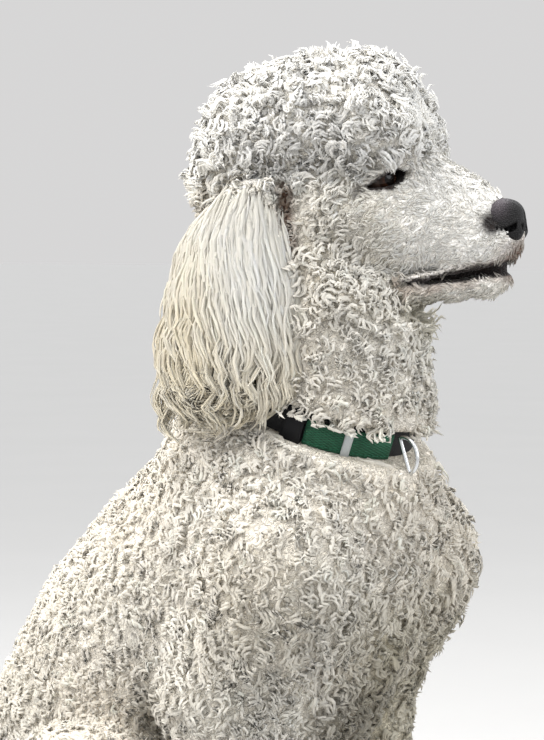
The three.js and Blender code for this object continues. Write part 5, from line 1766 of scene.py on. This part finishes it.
def stitch_tree(material):
    """Small rounded stitches at even gaps along lines."""
    tree = bpy.data.node_groups.new("stitches_along_lines", "GeometryNodeTree")
    tree.interface.new_socket("Geometry", in_out="INPUT", socket_type="NodeSocketGeometry")
    for name in ("Gap", "Length", "Thickness"):
        tree.interface.new_socket(name, in_out="INPUT", socket_type="NodeSocketFloat")
    tree.interface.new_socket("Geometry", in_out="OUTPUT", socket_type="NodeSocketGeometry")
    kinds = {
        "entry": "NodeGroupInput", "curve": "GeometryNodeMeshToCurve", "even": "GeometryNodeResampleCurve",
        "stitch": "GeometryNodeMeshCylinder", "spread": "GeometryNodeInstanceOnPoints",
        "tangent": "GeometryNodeInputTangent", "align": "FunctionNodeAlignRotationToVector",
        "realize": "GeometryNodeRealizeInstances", "finish": "GeometryNodeSetMaterial",
        "leave": "NodeGroupOutput",
    }
    nodes = {name: tree.nodes.new(kind) for name, kind in kinds.items()}
    nodes["even"].mode = "LENGTH"
    nodes["stitch"].inputs["Vertices"].default_value = 8
    nodes["align"].axis = "Z"
    nodes["finish"].inputs["Material"].default_value = material
    for start, output, end, socket in (
        ("entry", "Geometry", "curve", "Mesh"),
        ("curve", "Curve", "even", "Curve"),
        ("entry", "Gap", "even", "Length"),
        ("entry", "Length", "stitch", "Depth"),
        ("entry", "Thickness", "stitch", "Radius"),
        ("even", "Curve", "spread", "Points"),
        ("stitch", "Mesh", "spread", "Instance"),
        ("tangent", "Tangent", "align", "Vector"),
        ("align", "Rotation", "spread", "Rotation"),
        ("spread", "Instances", "realize", "Geometry"),
        ("realize", "Geometry", "finish", "Geometry"),
        ("finish", "Geometry", "leave", "Geometry"),
    ):
        tree.links.new(nodes[start].outputs[output], nodes[end].inputs[socket])
    return tree


# The middle of the picture in millimetres, its height in pixels, how many of them a metre takes up there, and
# the sensor's width in millimetres
TARGET = (0, 0, 525)
PICTURE_HEIGHT = 740
PIXELS_PER_METRE = 1400
SENSOR = 36.0
# Lamps round the dog: name, way round and height in degrees, width, share of the key's power, colour
LAMPS = (
    ("key", -36, 50, 2.4, 1.0, (1.0, 0.985, 0.96)),
    ("side", 100, 25, 1.6, 0.34, (0.93, 0.96, 1.0)),
    ("back", 225, 50, 1.4, 0.30, (1.0, 1.0, 1.0)),
)
LAMP_DISTANCE = 2.2
# The sky's even light, and the backdrop that only the camera sees
SKY_POWER = 2.7
WORLD_COLOUR = (0.96, 0.98, 1.0, 1.0)
WORLD_STRENGTH = 0.96
BACKDROP = (0.68, 0.675, 0.675, 1.0)
FLOOR_REACH = 30.0


class POODLE_OT_studio(bpy.types.Operator):
    """Set the pale floor, the soft lights and the camera"""

    bl_idname = "poodle.make_studio"
    bl_label = "Make Studio"

    def execute(self, context):
        studio = context.scene.poodle_studio
        self.floor(studio.floor)
        camera = bpy.data.cameras.new("camera")
        camera.sensor_width = SENSOR
        camera.lens = PIXELS_PER_METRE * studio.distance / PICTURE_HEIGHT * SENSOR
        camera.clip_start, camera.clip_end = 0.05, 60.0
        context.scene.camera = self.aimed("camera", camera, studio.azimuth, studio.elevation, studio.distance)
        for name, azimuth, elevation, width, share, colour in LAMPS:
            lamp = bpy.data.lights.new(name, "AREA")
            lamp.shape = "DISK"
            lamp.size = width
            lamp.energy = studio.key * share
            lamp.color = colour
            self.aimed(name, lamp, math.radians(azimuth), math.radians(elevation), LAMP_DISTANCE)
        sky = bpy.data.lights.new("sky", "SUN")
        sky.angle = math.radians(90)
        sky.energy = SKY_POWER
        self.aimed("sky", sky, math.radians(-62), math.radians(72), LAMP_DISTANCE)
        context.scene.world = self.world()
        context.scene.view_settings.view_transform = "Standard"
        return {"FINISHED"}

    def aimed(self, name, data, azimuth, elevation, distance):
        """A camera or a light that looks at the middle of the picture from a distance."""
        flat = math.cos(elevation)
        way = Vector((math.sin(azimuth) * flat, -math.cos(azimuth) * flat, math.sin(elevation)))
        holder = linked(name, data)
        holder.location = Vector(metres(TARGET)) + way * distance
        holder.rotation_mode = "QUATERNION"
        holder.rotation_quaternion = (-way).to_track_quat("-Z", "Y")
        return holder

    def world(self):
        """Even light from all round, with a plain backdrop for the camera."""
        world = bpy.data.worlds.new("studio")
        world.use_nodes = True
        nodes, link = world.node_tree.nodes, world.node_tree.links.new
        light = nodes["Background"]
        light.inputs["Color"].default_value = WORLD_COLOUR
        light.inputs["Strength"].default_value = WORLD_STRENGTH
        backdrop = nodes.new("ShaderNodeBackground")
        backdrop.inputs["Color"].default_value = BACKDROP
        seen = nodes.new("ShaderNodeLightPath")
        either = nodes.new("ShaderNodeMixShader")
        link(seen.outputs["Is Camera Ray"], either.inputs[0])
        link(light.outputs[0], either.inputs[1])
        link(backdrop.outputs[0], either.inputs[2])
        link(either.outputs[0], nodes["World Output"].inputs["Surface"])
        return world

    def floor(self, colour):
        """A wide level floor."""
        mesh = bpy.data.meshes.new("floor")
        corners = [(x * FLOOR_REACH, y * FLOOR_REACH, 0) for x, y in ((-1, -1), (1, -1), (1, 1), (-1, 1))]
        mesh.from_pydata(corners, [], [(0, 1, 2, 3)])
        piece = linked("floor", mesh)
        finish = Finish("studio_floor")
        grain = finish.noise(finish.place(), 3.0, 4.0)
        finish.set(Base_Color=finish.mix(grain, tuple(colour), scaled(colour, 1.06)), Roughness=0.85)
        mesh.materials.append(finish.material)


class POODLE_PT_panel(bpy.types.Panel):
    """Panel that lists the poodle's pieces"""

    bl_idname = "POODLE_PT_panel"
    bl_label = "Poodle"
    bl_space_type = "VIEW_3D"
    bl_region_type = "UI"
    bl_category = "Poodle"

    def draw(self, context):
        column = self.layout.column()
        for operator in OPERATORS:
            column.operator(operator.bl_idname)
        for group in ("poodle_coat", "poodle_collar", "poodle_studio"):
            settings = getattr(context.scene, group)
            box = self.layout.box()
            for name in settings.__annotations__:
                box.prop(settings, name)


GROUPS = {"poodle_coat": PoodleCoat, "poodle_collar": PoodleCollar, "poodle_studio": PoodleStudio}
OPERATORS = (
    POODLE_OT_skin, POODLE_OT_body_coat, POODLE_OT_topknot, POODLE_OT_face_coat, POODLE_OT_ears,
    POODLE_OT_eyes, POODLE_OT_nose, POODLE_OT_claws, POODLE_OT_collar, POODLE_OT_studio,
)
CLASSES = (*GROUPS.values(), *OPERATORS, POODLE_PT_panel)


def register():
    for item in CLASSES:
        bpy.utils.register_class(item)
    for name, group in GROUPS.items():
        setattr(bpy.types.Scene, name, PointerProperty(type=group))


def unregister():
    for name in GROUPS:
        delattr(bpy.types.Scene, name)
    for item in reversed(CLASSES):
        bpy.utils.unregister_class(item)


def main():
    register()
    bpy.ops.poodle.make_skin()
    bpy.ops.poodle.make_body_coat()
    bpy.ops.poodle.make_topknot()
    bpy.ops.poodle.make_face_coat()
    bpy.ops.poodle.make_ears()
    bpy.ops.poodle.make_eyes()
    bpy.ops.poodle.make_nose()
    bpy.ops.poodle.make_claws()
    bpy.ops.poodle.make_collar()
    bpy.ops.poodle.make_studio()


if __name__ == "__main__":
    main()
